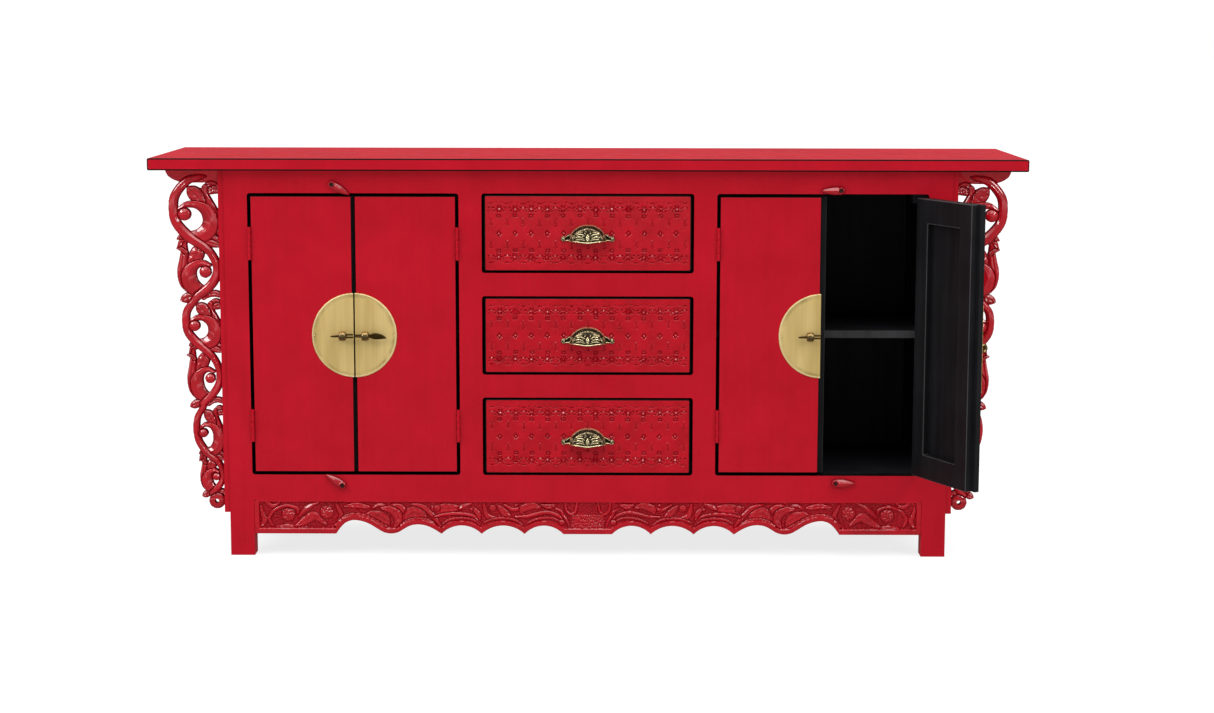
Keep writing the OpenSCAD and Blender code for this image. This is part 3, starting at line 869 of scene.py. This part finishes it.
def above_edge(x, z, foot_z):
    """How far a point is above the apron's scalloped lower edge."""
    heights = [z - foot_z]
    for start, end in zip(ARCH_ENDS, ARCH_ENDS[1:]):
        half = (end - start) / 2
        r = (half * half + ARCH_RISE * ARCH_RISE) / (2 * ARCH_RISE)
        heights.append(np.hypot(x - (start + end) / 2, z - (foot_z + ARCH_RISE - r)) - r)
    path = smooth_path([(a, foot_z + b) for a, b in WAVE], 4)
    line = np.interp(x, path[:, 0], path[:, 1], left=foot_z, right=foot_z)
    slopes = np.gradient(path[:, 1], path[:, 0] + 1e-6 * np.arange(len(path)))
    heights.append((z - line) / np.sqrt(1 + np.interp(x, path[:, 0], slopes, left=0, right=0) ** 2))
    return np.minimum.reduce(heights)


def worn_away(relief, width, depth):
    """How much a rounded edge of that width and depth lowers each point."""
    edge = np.clip(relief.inside / width, 0, 1)
    return depth * (1 - np.sqrt(np.clip(1 - (1 - edge) ** 2, 0, 1)))


def stipple(relief, where, spacing, depth, seed):
    """Punches small round dots, in rows that wander a little, where a mask says."""
    draw = np.random.default_rng(seed)
    at_cell = np.stack([relief.x, relief.z]) / spacing
    fraction = at_cell - np.floor(at_cell)
    cell_x, cell_z = [cell - cell.min() + 1 for cell in np.floor(at_cell).astype(int)]
    shift = draw.uniform(-0.32, 0.32, (cell_x.max() + 2, cell_z.max() + 2, 2)) + 0.5
    nearest = np.full(relief.x.shape, 9.0)
    for i in (-1, 0, 1):
        for j in (-1, 0, 1):
            at = shift[cell_x + i, cell_z + j]
            distance = np.hypot(i + at[..., 0] - fraction[0], j + at[..., 1] - fraction[1])
            nearest = np.minimum(nearest, distance)
    relief.height += np.where(where, -depth * np.exp(-((nearest / 0.3) ** 2)), 0)


def rosette(relief, x, z, r, rise, petals=7):
    """A round flower of curled petals."""
    relief.dome(x, z, r, rise, 0.6, cut=False)
    away = np.hypot(relief.x - x, relief.z - z) / r
    turn = np.arctan2(relief.z - z, relief.x - x)
    curls = np.cos(petals * turn + 7 * away) * np.clip(away * 2.2, 0, 1) * np.clip((1 - away) * 5, 0, 1)
    ring = np.exp(-(((away - 0.36) / 0.08) ** 2))
    relief.height += np.where(away < 1 - 1 / r, 0.17 * rise * curls - 0.22 * rise * ring, 0)


# Half of the carving from the outer end inwards: stems and leaves as points (x, z, width), and round flowers
# and balls as (x, z, radius).
APRON_VINE = [
    ([(684, 62, 8), (676, 74, 12), (681, 87, 10), (684, 103, 6)], veined),
    ([(672, 112, 8), (658, 104, 10), (646, 112, 6)], leafy),
    ([(661, 63, 7), (667, 77, 8), (661, 90, 8), (648, 100, 8), (629, 105, 8), (609, 99, 8), (606, 87, 5)],
     ridged),
    ([(650, 60, 6), (630, 62, 9), (612, 60, 8), (590, 61, 6)], leafy),
    ([(606, 81, 5), (592, 95, 13), (579, 105, 12), (563, 112, 5)], keeled),
    ([(611, 62, 8), (590, 73, 20), (574, 83, 20), (561, 75, 12), (549, 65, 6)], veined),
    ([(535, 60, 6), (522, 72, 9), (516, 85, 10), (522, 100, 9), (527, 110, 5)], leafy),
    ([(509, 104, 5), (484, 106, 15), (458, 102, 8)], veined),
    ([(451, 100, 5), (438, 107, 11), (428, 105, 11), (420, 98, 4)], keeled),
    ([(464, 86, 8), (448, 86, 20), (431, 79, 26), (422, 69, 18), (418, 60, 6)], veined),
    ([(431, 100, 8), (412, 97, 18), (399, 86, 22), (397, 72, 17), (405, 60, 6)], veined),
    ([(410, 108, 6), (393, 104, 12), (383, 91, 11), (385, 76, 5)], leafy),
    ([(380, 77, 10), (367, 88, 32), (351, 86, 26), (338, 77, 5)], veined),
    ([(367, 109, 6), (347, 104, 11), (331, 91, 12), (318, 76, 10), (308, 62, 5)], ridged),
    ([(322, 100, 14), (305, 99, 24), (286, 99, 24), (268, 102, 9)], veined),
    ([(529, 63, 6), (512, 78, 9), (493, 86, 9), (470, 84, 9), (451, 76, 9), (431, 65, 8), (416, 58, 5)],
     beaded),
    ([(392, 64, 5), (374, 75, 7), (354, 78, 7), (334, 74, 7), (314, 61, 5)], beaded),
    ([(269, 99, 6), (259, 104, 14), (244, 111, 6)], keeled),
    ([(321, 82, 5), (301, 87, 8), (276, 89, 8), (253, 87, 8), (237, 82, 8), (225, 69, 5)], ridged),
    ([(303, 68, 5), (288, 76, 7), (265, 79, 7), (242, 76, 7), (226, 66, 5)], beaded),
    ([(240, 100, 8), (230, 90, 12), (226, 78, 6)], leafy),
    ([(217, 109, 6), (214, 93, 11), (207, 82, 12), (189, 79, 6)], leafy),
    ([(188, 106, 6), (176, 93, 17), (166, 82, 14), (160, 75, 5)], veined),
    ([(174, 108, 6), (158, 98, 9), (143, 100, 9), (139, 108, 5)], ridged),
    ([(100, 102, 6), (113, 106, 16), (125, 104, 20), (136, 99, 16), (139, 91, 6)], veined),
    ([(217, 70, 5), (199, 77, 7), (176, 79, 7), (153, 75, 7), (137, 65, 5)], beaded),
    ([(151, 83, 5), (128, 83, 8), (108, 88, 9), (85, 92, 9), (64, 86, 8), (54, 79, 6)], ridged),
    ([(125, 69, 5), (107, 77, 7), (87, 80, 7), (72, 79, 7), (60, 73, 5)], beaded),
    ([(95, 108, 6), (82, 104, 13), (67, 109, 5)], veined),
    ([(66, 100, 5), (55, 94, 7), (52, 86, 7), (44, 76, 7), (39, 63, 5)], ridged),
    ([(47, 112, 5), (45, 97, 7), (36, 88, 7), (26, 94, 7), (22, 112, 5)], ridged),
]
APRON_BALLS = [
    (627, 85.5, 15), (546, 90.5, 15), (315, 100, 7.5), (199, 100.5, 8), (54, 70, 6.5), (150, 107, 4),
    (243, 98, 4),
]


def carve_apron():
    """The scalloped apron: a plain border round a punched ground, with a vine of leaves and flowers."""
    low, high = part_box("apron")
    end_x, foot_z, top_z = high.x / MM, low.z / MM, high.z / MM
    relief = Relief(-end_x, end_x, foot_z, top_z, 1.25)
    across = np.abs(relief.x)
    to_edges = np.stack([
        above_edge(across, relief.z, foot_z), end_x - across, relief.z - foot_z, top_z - relief.z
    ])
    border = np.array([9.3, 10, 11, 3.5])[:, None, None]
    relief.inside = np.minimum(to_edges[0], to_edges[1:].min(0) + 0.01)
    field = (to_edges - border).min(0)
    full, level = 6.0, 3.1
    ground = field > 0
    relief.height = np.where(ground, level, relief.height)
    for s in (-1, 1):
        for points, profile in APRON_VINE:
            rise = 4.0 if profile is beaded else 5.2
            relief.stroke([[s * x, z, w] for x, z, w in points], profile, rise, 0.6, cut=False)
        for x, z, r in APRON_BALLS:
            if r > 10:
                rosette(relief, s * x, z, r, 5.2)
            else:
                relief.dome(s * x, z, r, 4.4, 1.0, ring=0.12, cut=False)
    panel = ground & (across < 34) & (relief.z < 86)
    relief.height = np.where(panel, np.maximum(relief.height, 4.6), relief.height)
    bare = ground & np.isclose(relief.height, level) & ~panel
    stipple(relief, bare, 4.6, 1.8, 3)
    stipple(relief, panel, 5.6, 2.4, 5)
    slope_down = full * np.clip(1 - field / 1.8, 0, 1) ** 2
    relief.height = np.where(ground, np.maximum(np.minimum(relief.height, full - 0.2), slope_down), full)
    relief.height = relief.height - worn_away(relief, 1.8, 1.3) * (relief.z < top_z - 2)

    def to_world(x, z, height):
        return np.stack([x * MM, low.y + (full - np.minimum(height, full)) * MM, z * MM], 1)

    # The walls and back take the dark scuffed red-black, which is partly painted shade along the scalloped
    # edge.
    mesh = relief.piece("apron_carving", to_world, full - (high.y - low.y) / MM, full, plain_back=True)
    show("apron_carving", mesh, [apron_lacquer, worn_edge_and_shaded_wall], "carcass", "carved_lacquer", "apron")


# ---------------------------------------------------------------- drawers

def drawer_relief(width, height):
    """Rows of cut diamonds, dots and small flowers on a drawer's front, about its middle."""
    relief = Relief(-width / 2, width / 2, -height / 2, height / 2, 1.2)
    corner = 4
    over_x, over_z = np.abs(relief.x) - width / 2 + corner, np.abs(relief.z) - height / 2 + corner
    away = np.hypot(np.maximum(over_x, 0), np.maximum(over_z, 0)) + np.minimum(np.maximum(over_x, over_z), 0)
    relief.inside = corner - away + 0.01
    full, pitch = 3.2, 33.2
    surface = np.full(relief.x.shape, full)
    in_rows = np.abs(relief.x) < width / 2 - 8
    draw = np.random.default_rng(11)
    wobble = draw.uniform(-0.9, 0.9, (40, 12, 2))

    def row(number, z, phase, shape):
        """One row of a motif; shape gives its height change from the motif's own coordinates."""
        nonlocal surface
        column = np.floor(relief.x / pitch + phase).astype(int)
        drift = wobble[column + 20, number]
        u = (relief.x / pitch + phase - column - 0.5) * pitch + drift[..., 0]
        v = relief.z - z + drift[..., 1]
        surface = surface + np.where(in_rows, shape(u, v), 0)

    def pit(u, v, rx, rz, depth):
        return -depth * np.clip(1.25 - 1.25 * np.hypot(u / rx, v / rz), 0, 1) ** 0.6

    def bead(u, v, r):
        return 1.3 * np.sqrt(np.clip(1 - np.hypot(u, v) ** 2 / r**2, 0, 1))

    def diamond(u, v):
        spread = np.abs(u) / 5.0 + np.abs(v) / 6.0
        return -2.2 * np.exp(-(((spread - 0.9) / 0.3) ** 2)) + bead(u, v, 2.0) * 0.6

    def hourglass(u, v):
        waist = np.abs(v) / 8.0
        body = np.clip(1.3 - 1.3 * np.abs(u) / (1.6 + 4.4 * waist), 0, 1) * (waist < 1)
        return -1.6 * body + bead(u, v - 6.4, 2.6) + bead(u + 1.2, v + 5.4, 2.0)

    def flower(u, v):
        turn, away = np.arctan2(v, u), np.hypot(u, v)
        petals = 4.9 + 2.2 * np.cos(6 * turn)
        return -2.2 * np.exp(-(((away - petals) / 1.5) ** 2)) + bead(u, v, 2.6)

    def leaflets(u, v):
        made = bead(u, v - 3.4, 1.7) + bead(np.abs(u) - 9.8, v + 2.4, 1.5)
        for lift in (-1, 1):
            made = made + pit(np.abs(u) - 6.0 + lift * 1.4, v - lift * 3.2, 3.6, 1.9, 2.1)
        return made

    def tick(u, v):
        return pit(u, v, 7.5, 1.5, 1.9) + pit(np.abs(u) - 10.5, v - 2.2, 2.6, 1.4, 1.7)

    def square(u, v):
        spread = np.maximum(np.abs(u) / 4.4, np.abs(v) / 3.4)
        return -2.1 * np.exp(-(((spread - 0.8) / 0.34) ** 2))

    row(0, 0, 0.0, diamond)
    for number, s in enumerate((-1, 1)):
        row(1 + number, s * 22.5, 0.5, hourglass)
        row(3 + number, s * 36, 0.0, square)
        row(5 + number, s * 49.5, 0.0, flower)
        row(7 + number, s * 49.5, 0.5, leaflets)
        row(9 + number, s * 61, 0.5, tick)
    relief.height = surface - worn_away(relief, 2.2, 1.4)
    return relief, full


def pull_relief(half, height):
    """The cast pattern on a cup pull: a shell in the middle, leaves beside it and beads above."""
    relief = Relief(-half - 2, half + 2, -2, height + 2, 0.4)
    for size, width in ((0.97, 2.2), (0.8, 1.2)):
        outline = [
            [half * size * math.cos(a), height * (size - 0.01) * math.sin(a), width]
            for a in np.linspace(0.06, math.pi - 0.06, 24)
        ]
        relief.stroke(outline, rounded, 1.1, 0, 0.7, steps=2)
    lip = [[-half, 1, 3.2], [-half / 2, 1.2, 3.2], [0, 1, 3.6], [half / 2, 1.2, 3.2], [half, 1, 3.2]]
    relief.stroke(lip, rounded, 1.2, 0, 0.7)
    for s in (-1, 1):
        for points, profile in (
            ([(5, 5.5, 1.4), (12, 7.5, 3.2), (19, 7, 3.2), (25, 5, 1.2)], veined),
            ([(7, 9, 1.2), (13, 12, 3.4), (20, 12.5, 3.4), (27, 9.5, 1.2)], veined),
            ([(6, 15, 1.4), (12, 18, 3), (18, 17.5, 3), (23, 15, 1.2)], leafy),
            ([(24, 14, 1.2), (28, 13, 2.4), (31, 9.5, 1.8), (29, 6.5, 1.2)], ridged),
            ([(9, 23, 1.2), (15, 22.5, 2.6), (21, 20, 2.4), (26, 17, 1.2)], leafy),
            ([(31, 16, 1.2), (33.5, 11.5, 2.2), (35, 6, 1.2)], ridged),
        ):
            relief.stroke([[s * x, z, w] for x, z, w in points], profile, 1.1, 0, 0.7)
        for x, z, r in ((28, 10, 1.5), (5.5, 20.5, 1.4), (22.5, 9.8, 1.1), (13, 26.5, 1.2), (9.5, 14, 1.1)):
            relief.dome(s * x, z, r, 1.1)
    relief.stroke([[0, 4, 2], [0, 8, 7.5], [0, 13, 7], [0, 18, 2.4]], veined, 1.4, 0, 0.9)
    for k in range(-5, 6):
        relief.dome(k * 3.6, 28.6 - 0.19 * k * k, 1.15, 1.0)
    curls = np.sin(1.5 * relief.x + 2 * np.sin(0.9 * relief.z))
    curls = curls * np.cos(1.6 * relief.z + 2 * np.sin(0.8 * relief.x))
    relief.height = np.maximum(relief.height, 0.75 * np.clip(curls, 0, 1))
    return relief


def sampled(relief, x, z):
    """The relief's height at points, between its grid lines."""
    at_x = np.clip((x - relief.x[0, 0]) / relief.step[0], 0, relief.x.shape[0] - 1.001)
    at_z = np.clip((z - relief.z[0, 0]) / relief.step[1], 0, relief.x.shape[1] - 1.001)
    i, j = at_x.astype(int), at_z.astype(int)
    s, t, h = at_x - i, at_z - j, relief.height
    below = (1 - s) * h[i, j] + s * h[i + 1, j]
    above = (1 - s) * h[i, j + 1] + s * h[i + 1, j + 1]
    return (1 - t) * below + t * above


def cup_mesh(relief, half, height, deep):
    """A quarter-shell cup with its cast pattern, in millimetres about the middle of its lower rim.

    Returns vertices, faces and the values of the attribute carved.
    """
    wall, cast = 2.2, 1.6
    turns, steps = 120, 44
    turn = np.linspace(0, math.pi, turns)[:, None]
    out = np.linspace(0, 1, steps)[None, :]
    x = (half - cast) * out * np.sign(np.cos(turn)) * np.abs(np.cos(turn)) ** 0.9
    y = -(deep - cast) * np.sqrt(np.clip(1 - out**2.3, 0, 1)) + 0 * turn
    z = (height - cast) * out * np.sin(turn) ** 0.95
    rise = sampled(relief, x, z)
    normal = np.stack([x / half**2, y / deep**2, z / height**2], -1)
    normal /= np.maximum(np.linalg.norm(normal, axis=-1, keepdims=True), 1e-9)
    wave = 2.6 * np.sin(math.pi * np.abs(x) / (1.35 * half)) ** 2 * np.clip(1 - z / height, 0, 1) ** 2
    shell = np.stack([x, y, z + wave], -1)
    outer, inner = shell + normal * (rise * cast)[..., None], shell - normal * wall
    inner[..., 2] = np.maximum(inner[..., 2], outer[..., 2].min())
    outer[..., 1], inner[..., 1] = np.minimum(outer[..., 1], 0), np.minimum(inner[..., 1], 0)
    vertices = np.concatenate([outer.reshape(-1, 3), inner.reshape(-1, 3)])
    number = np.arange(turns * steps).reshape(turns, steps)
    shift = turns * steps
    faces = []
    for i in range(turns - 1):
        for j in range(steps - 1):
            a, b, c, d = number[i, j], number[i + 1, j], number[i + 1, j + 1], number[i, j + 1]
            faces.append([a, b, c, d])
            faces.append([d + shift, c + shift, b + shift, a + shift])
    for border in (number[0], number[-1], number[:, -1]):
        for a, b in zip(border, border[1:]):
            faces.append([a, b, b + shift, a + shift])
    lip = np.clip((2.6 - z) / 1.2, 0, 1) + np.clip((out - 0.965) / 0.02, 0, 1)
    share = np.clip(0.08 + 0.7 * rise + 0.9 * lip, 0, 1)
    share = np.concatenate([share.ravel(), np.full(shift, 0.2)])
    return vertices, [[int(v) for v in face] for face in faces], share


def ear_profile(q, side, along):
    """Flat, with a raised and rounded border."""
    border = np.exp(-(((q - 0.78) / 0.16) ** 2))
    return (0.5 + 0.5 * border) * np.sqrt(np.clip(1 - q**8, 0, 1))


def build_drawers():
    low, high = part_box("drawer_1_front")
    front, full = drawer_relief((high.x - low.x) / MM, (high.z - low.z) / MM)
    bead_top = full + 1.2
    pull_low, pull_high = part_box("drawer_1_pull")
    dome_half, pull_h, pull_d = 39.5, (pull_high.z - pull_low.z) / MM, (pull_high.y - pull_low.y) / MM
    pattern = pull_relief(dome_half, pull_h)
    cup_vertices, cup_faces, cup_share = cup_mesh(pattern, dome_half, pull_h, pull_d)
    ear = Relief(30, (pull_high.x - pull_low.x) / MM / 2 + 0.5, 0, 20, 0.4)
    ear.stroke([[30, 12, 17], [37, 10.5, 14], [43, 8.6, 10], [47, 8, 9], [50, 7.6, 11]], ear_profile, 2.6)
    ear.dome(50, 7.6, 2.6, 1.1, 1.6, cut=False)
    for i in drawer_numbers:
        low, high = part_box(f"drawer_{i}_front")
        middle = (low + high) / 2

        def on_front(x, z, height):
            y = low.y + (bead_top - np.minimum(height, bead_top)) * MM
            return np.stack([x * MM, y, middle.z + z * MM], 1)

        body, back = f"drawer_{i}", bead_top - (high.y - low.y) / MM
        mesh = front.piece(f"{body}_carving", on_front, back, full, plain_back=True, reach=2.0, rim=2.8)
        show(f"{body}_carving", mesh, [drawer_lacquer, gap_black], body, "carved_lacquer", f"{body}_front")
        pull_low, pull_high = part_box(f"{body}_pull")
        mesh = bpy.data.meshes.new(f"{body}_cup")
        points = cup_vertices * MM + np.array([0, pull_high.y, pull_low.z])
        mesh.from_pydata(points.tolist(), [], cup_faces)
        set_carved(mesh, cup_share)
        show(f"{body}_cup", finish_mesh(mesh, 50), [cup_brass], body, "antique_brass", f"{body}_pull")
        for s, side in ((-1, "left"), (1, "right")):
            def on_ear(x, z, height):
                return np.stack([s * x * MM, pull_high.y - height * MM, pull_low.z + z * MM], 1)

            mesh = ear.piece(f"{body}_ear_{side}", on_ear, 0.0, 2.8, reach=1.9)
            show(f"{body}_ear_{side}", mesh, [cup_brass, cup_brass], body, "antique_brass")
        dress(f"{body}_box", 0.0012, always, [timber])


# ---------------------------------------------------------------- locks

FACE_BEHIND_AXIS = 3.0  # from a hinge's axis back to its door's face
PLATE_R, PLATE_GAP, PLATE_T = 88, 1.6, 2.0
EYE_AT, EYE_OUT = 23.5, 13.0  # from the middle of a pair's gap, and in front of the door's face
BAR_END = 1.2  # from the middle of the gap to the ends of the strap and of the pin


def door_place(i):
    """A function from millimetres along door i from its hinge, out from its face, and up, to metres."""
    hinge = joint(f"door_{i}_hinge")
    axis = Vector(hinge["pos_m"])
    side = 1 if i % 2 else -1
    turn = Matrix.Rotation(door_angle(i), 3, "Z")

    def to_world(along, out, z):
        local = turn @ Vector((side * along * MM, (FACE_BEHIND_AXIS - out) * MM, 0))
        return (axis.x + local.x, axis.y + local.y, axis.z + z * MM)

    return to_world


def build_locks():
    reach = (joint("door_2_hinge")["pos_m"][0] - joint("door_1_hinge")["pos_m"][0]) / 2 / MM
    at = reach - EYE_AT
    for i in door_numbers:
        to_world, body = door_place(i), f"door_{i}"
        edge_at = PLATE_GAP + (4 if door_angle(i) else 0)
        plate = Relief(reach - PLATE_R, reach - edge_at, -PLATE_R, PLATE_R, 1.4)
        from_rim = PLATE_R - np.hypot(plate.x - reach, plate.z)
        plate.inside = np.minimum(from_rim, reach - edge_at - plate.x + 0.01)
        bead = np.exp(-(((from_rim - 1.6) / 1.1) ** 2))
        sunk = np.exp(-(((from_rim - 6) / 3.2) ** 2))
        plate.height = 1.45 + 0.5 * bead - 0.9 * (1 - np.clip(from_rim / 1.2, 0, 1)) - 0.12 * sunk
        plate.dome(reach - 82.5, -0.5, 1.7, 0.9, 1.1, cut=False)

        def on_door(x, z, height):
            return np.array([to_world(a, h, b) for a, b, h in zip(x, z, height)])

        mesh = plate.piece(f"{body}_plate_half", on_door, 0.0, PLATE_T, plain_back=True)
        show(f"{body}_plate_half", mesh, [brass, brass], body, "brushed_brass", f"{body}_plate")
        if i % 2:
            tail = [(6, 0, 2.6), (-6, -0.3, 2.6), (-16, -0.7, 2.3), (-22, -1.0, 1.8), (-25, -1.2, 0.8)]
            strap = [
                rounded_bar((at + 4, EYE_OUT, z), (reach - BAR_END, EYE_OUT, z), 1.9) for z in (2.9, -2.9)
            ]
            strap.append(tube([(at + a, EYE_OUT, b) for a, b, _ in tail], [r for _, _, r in tail]))
            mesh = joined(f"{body}_eye_strap", strap, 0.6, to_world)
            show(f"{body}_eye_strap", mesh, [pin_bronze], body, "dark_bronze")
        parts = [
            eye_ring(at, EYE_OUT, 6.3, 3.7, 7.6),
            tube([(at, out, 0) for out in (1.6, 2.6, 3.6, 5.5)], [8.2, 7.6, 5.2, 4.4]),
        ]
        mesh = joined(f"{body}_eye_ring", parts, 0.62, to_world)
        show(f"{body}_eye_ring", mesh, [eye_brass], body, "aged_brass", f"{body}_eye")
    build_pin(reach)


def eye_ring(at, out, r, thick, half_width):
    """A heavy ring round an axis along the door, with a rounded face."""
    turns, steps = 36, 16
    vertices, faces = [], []
    for j in range(turns):
        a = 2 * math.pi * j / turns
        for k in range(steps):
            b = 2 * math.pi * k / steps
            away = r + thick * math.copysign(abs(math.cos(b)) ** 0.8, math.cos(b))
            along = half_width * math.copysign(abs(math.sin(b)) ** 0.8, math.sin(b))
            vertices.append(Vector((at + along, out + away * math.cos(a), away * math.sin(a))))
            faces.append([j * steps + k, j * steps + (k + 1) % steps,
                          (j + 1) % turns * steps + (k + 1) % steps, (j + 1) % turns * steps + k])
    return vertices, faces


def build_pin(reach):
    """The loose pin: two thin bars through the eye of door 2, and a leaf-shaped tail."""
    to_world = door_place(2)
    bars = [
        rounded_bar((reach - BAR_END, EYE_OUT, z), (reach - 33, EYE_OUT, z), 1.6) for z in (1.7, -1.7)
    ]
    mesh = joined("lock_pin_bars", bars, 0.6, to_world)
    show("lock_pin_bars", mesh, [pin_bronze], "lock_pin", "dark_bronze", "lock_pin")
    leaf = Relief(28, 68, -8, 8, 0.5)
    outline = [[29, 0, 4.4], [34, 0, 7], [43, -0.2, 12.5], [53, -1, 11], [61, -2.4, 6.5], [67, -4.4, 1.2]]
    leaf.stroke(outline, veined, 1.6)

    def on_pin(x, z, height):
        return np.array([to_world(reach - a, EYE_OUT + h, b) for a, b, h in zip(x, z, height)])

    mesh = leaf.piece("lock_pin_leaf", on_pin, -1.3, 1.3)
    show("lock_pin_leaf", mesh, [pin_bronze, pin_bronze], "lock_pin", "dark_bronze")


# ---------------------------------------------------------------- turn buttons

BUTTON_ANGLES = (-30, 146, 180, 0)  # the way each button points in the photo's pose, in degrees


def button_profile(q, side, along):
    """Two slopes that meet in a ridge, falling towards the tip."""
    slopes = (1 - 0.62 * np.clip(q, 0, 1)) * np.sqrt(np.clip(1 - q**6, 0, 1))
    return slopes * (1 - 0.55 * np.clip(2 * along - 1, 0, 1))


def build_buttons():
    button = Relief(-10, 43, -10, 10, 0.6)
    drop = [[0, 0, 17], [10, 0, 17.2], [20, 0, 15.5], [31, 0, 10], [40.8, 0, 2]]
    button.stroke(drop, button_profile, 6.5, 3.0)
    away = np.hypot(button.x, button.z)
    button.height += 0.9 * np.exp(-(((away - 6.2) / 0.9) ** 2)) - 4.2 * np.clip((4.5 - away) / 0.8, 0, 1)
    for i, angle in enumerate(BUTTON_ANGLES, 1):
        body = f"button_{i}"
        pivot_x, _, pivot_z = joint(f"{body}_turn")["pos_m"]
        back_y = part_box(body)[1].y
        c, s = math.cos(math.radians(angle)), math.sin(math.radians(angle))

        def to_world(x, z, height):
            turned_x, turned_z = x * c - z * s, x * s + z * c
            return np.stack([pivot_x + turned_x * MM, back_y - height * MM, pivot_z + turned_z * MM], 1)

        mesh = button.piece(f"{body}_drop", to_world, 0.0, 9.5, reach=7.0)
        show(f"{body}_drop", mesh, [carved_lacquer, carved_lacquer], body, "red_lacquer", body)


# ---------------------------------------------------------------- camera, light and floor

def add_camera():
    """Stands in front, a little to the right and above, and looks slightly down."""
    camera = bpy.data.cameras.new("camera")
    camera.sensor_width = 36
    camera.lens = 68.38
    camera.clip_end = 200
    stand = bpy.data.objects.new("camera", camera)
    bpy.context.scene.collection.objects.link(stand)
    pitch, yaw, roll = math.radians(8.348), math.radians(-0.223), math.radians(0.1)
    ahead = Vector((math.sin(yaw) * math.cos(pitch), math.cos(yaw) * math.cos(pitch), -math.sin(pitch)))
    stand.rotation_mode = "QUATERNION"
    stand.rotation_quaternion = ahead.to_track_quat("-Z", "Y") @ Matrix.Rotation(roll, 3, "Z").to_quaternion()
    stand.location = (0.0583, front_y - 4.7255, 1.1161)
    bpy.context.scene.camera = stand


def add_light(name, place_at, look_at, size, power):
    """A soft light with four corners."""
    light = bpy.data.lights.new(name, "AREA")
    light.shape = "RECTANGLE"
    light.size, light.size_y = size
    light.energy = power
    stand = bpy.data.objects.new(name, light)
    bpy.context.scene.collection.objects.link(stand)
    stand.location = place_at
    stand.rotation_mode = "QUATERNION"
    stand.rotation_quaternion = (Vector(look_at) - Vector(place_at)).to_track_quat("-Z", "Y")


def add_studio():
    """A white room that is bright overhead and in a band at the horizon, two soft lights and the floor."""
    middle = (cad_low + cad_high) / 2
    scene = bpy.context.scene
    scene.view_settings.view_transform = "Standard"
    world = bpy.data.worlds.new("studio")
    world.use_nodes = True
    tree = world.node_tree
    way = shader_node(tree, "SeparateXYZ", {0: shader_node(tree, "TexCoord").outputs["Generated"]})
    ramp = shader_node(tree, "ValToRGB", {"Fac": span(tree, way.outputs["Z"], -1.0, 1.0)})
    stops = [(0.45, 0.06), (0.485, 0.55), (0.506, 0.55), (0.52, 0.07), (0.8, 0.12), (0.88, 1.62)]
    while len(ramp.color_ramp.elements) < len(stops):
        ramp.color_ramp.elements.new(0.5)
    for stop, (at, level) in zip(ramp.color_ramp.elements, stops):
        stop.position, stop.color = at, (level, level, level, 1)
    background = tree.nodes["Background"]
    tree.links.new(ramp.outputs[0], background.inputs["Color"])
    background.inputs["Strength"].default_value = 1.8
    plain = shader_node(tree, "Background", {"Color": (1, 1, 1, 1)})
    seen = shader_node(tree, "LightPath").outputs["Is Camera Ray"]
    both = shader_node(tree, "MixShader", {0: seen, 1: background.outputs[0], 2: plain.outputs[0]})
    tree.links.new(both.outputs[0], tree.nodes["World Output"].inputs["Surface"])
    scene.world = world
    add_light("key", (-3.0, -2.0, 2.3), middle, (1.1, 1.1), 44)
    add_light("fill", (2.9, -2.4, 2.1), middle, (0.6, 1.1), 35)
    radius = 60
    ring = [(radius * math.cos(a), radius * math.sin(a), 0) for a in np.linspace(0, 2 * math.pi, 96, False)]
    mesh = bpy.data.meshes.new("floor")
    mesh.from_pydata(ring, [], [tuple(range(len(ring)))])
    mesh.materials.append(floor_white())
    floor = bpy.data.objects.new("floor", mesh)
    floor.location.z = cad_low.z - 0.0005
    floor.visible_glossy = False
    scene.collection.objects.link(floor)


add_camera()
add_studio()
build_face_frame()
dress_boards()
dress_doors()
carve_brackets()
carve_apron()
build_drawers()
build_locks()
build_buttons()
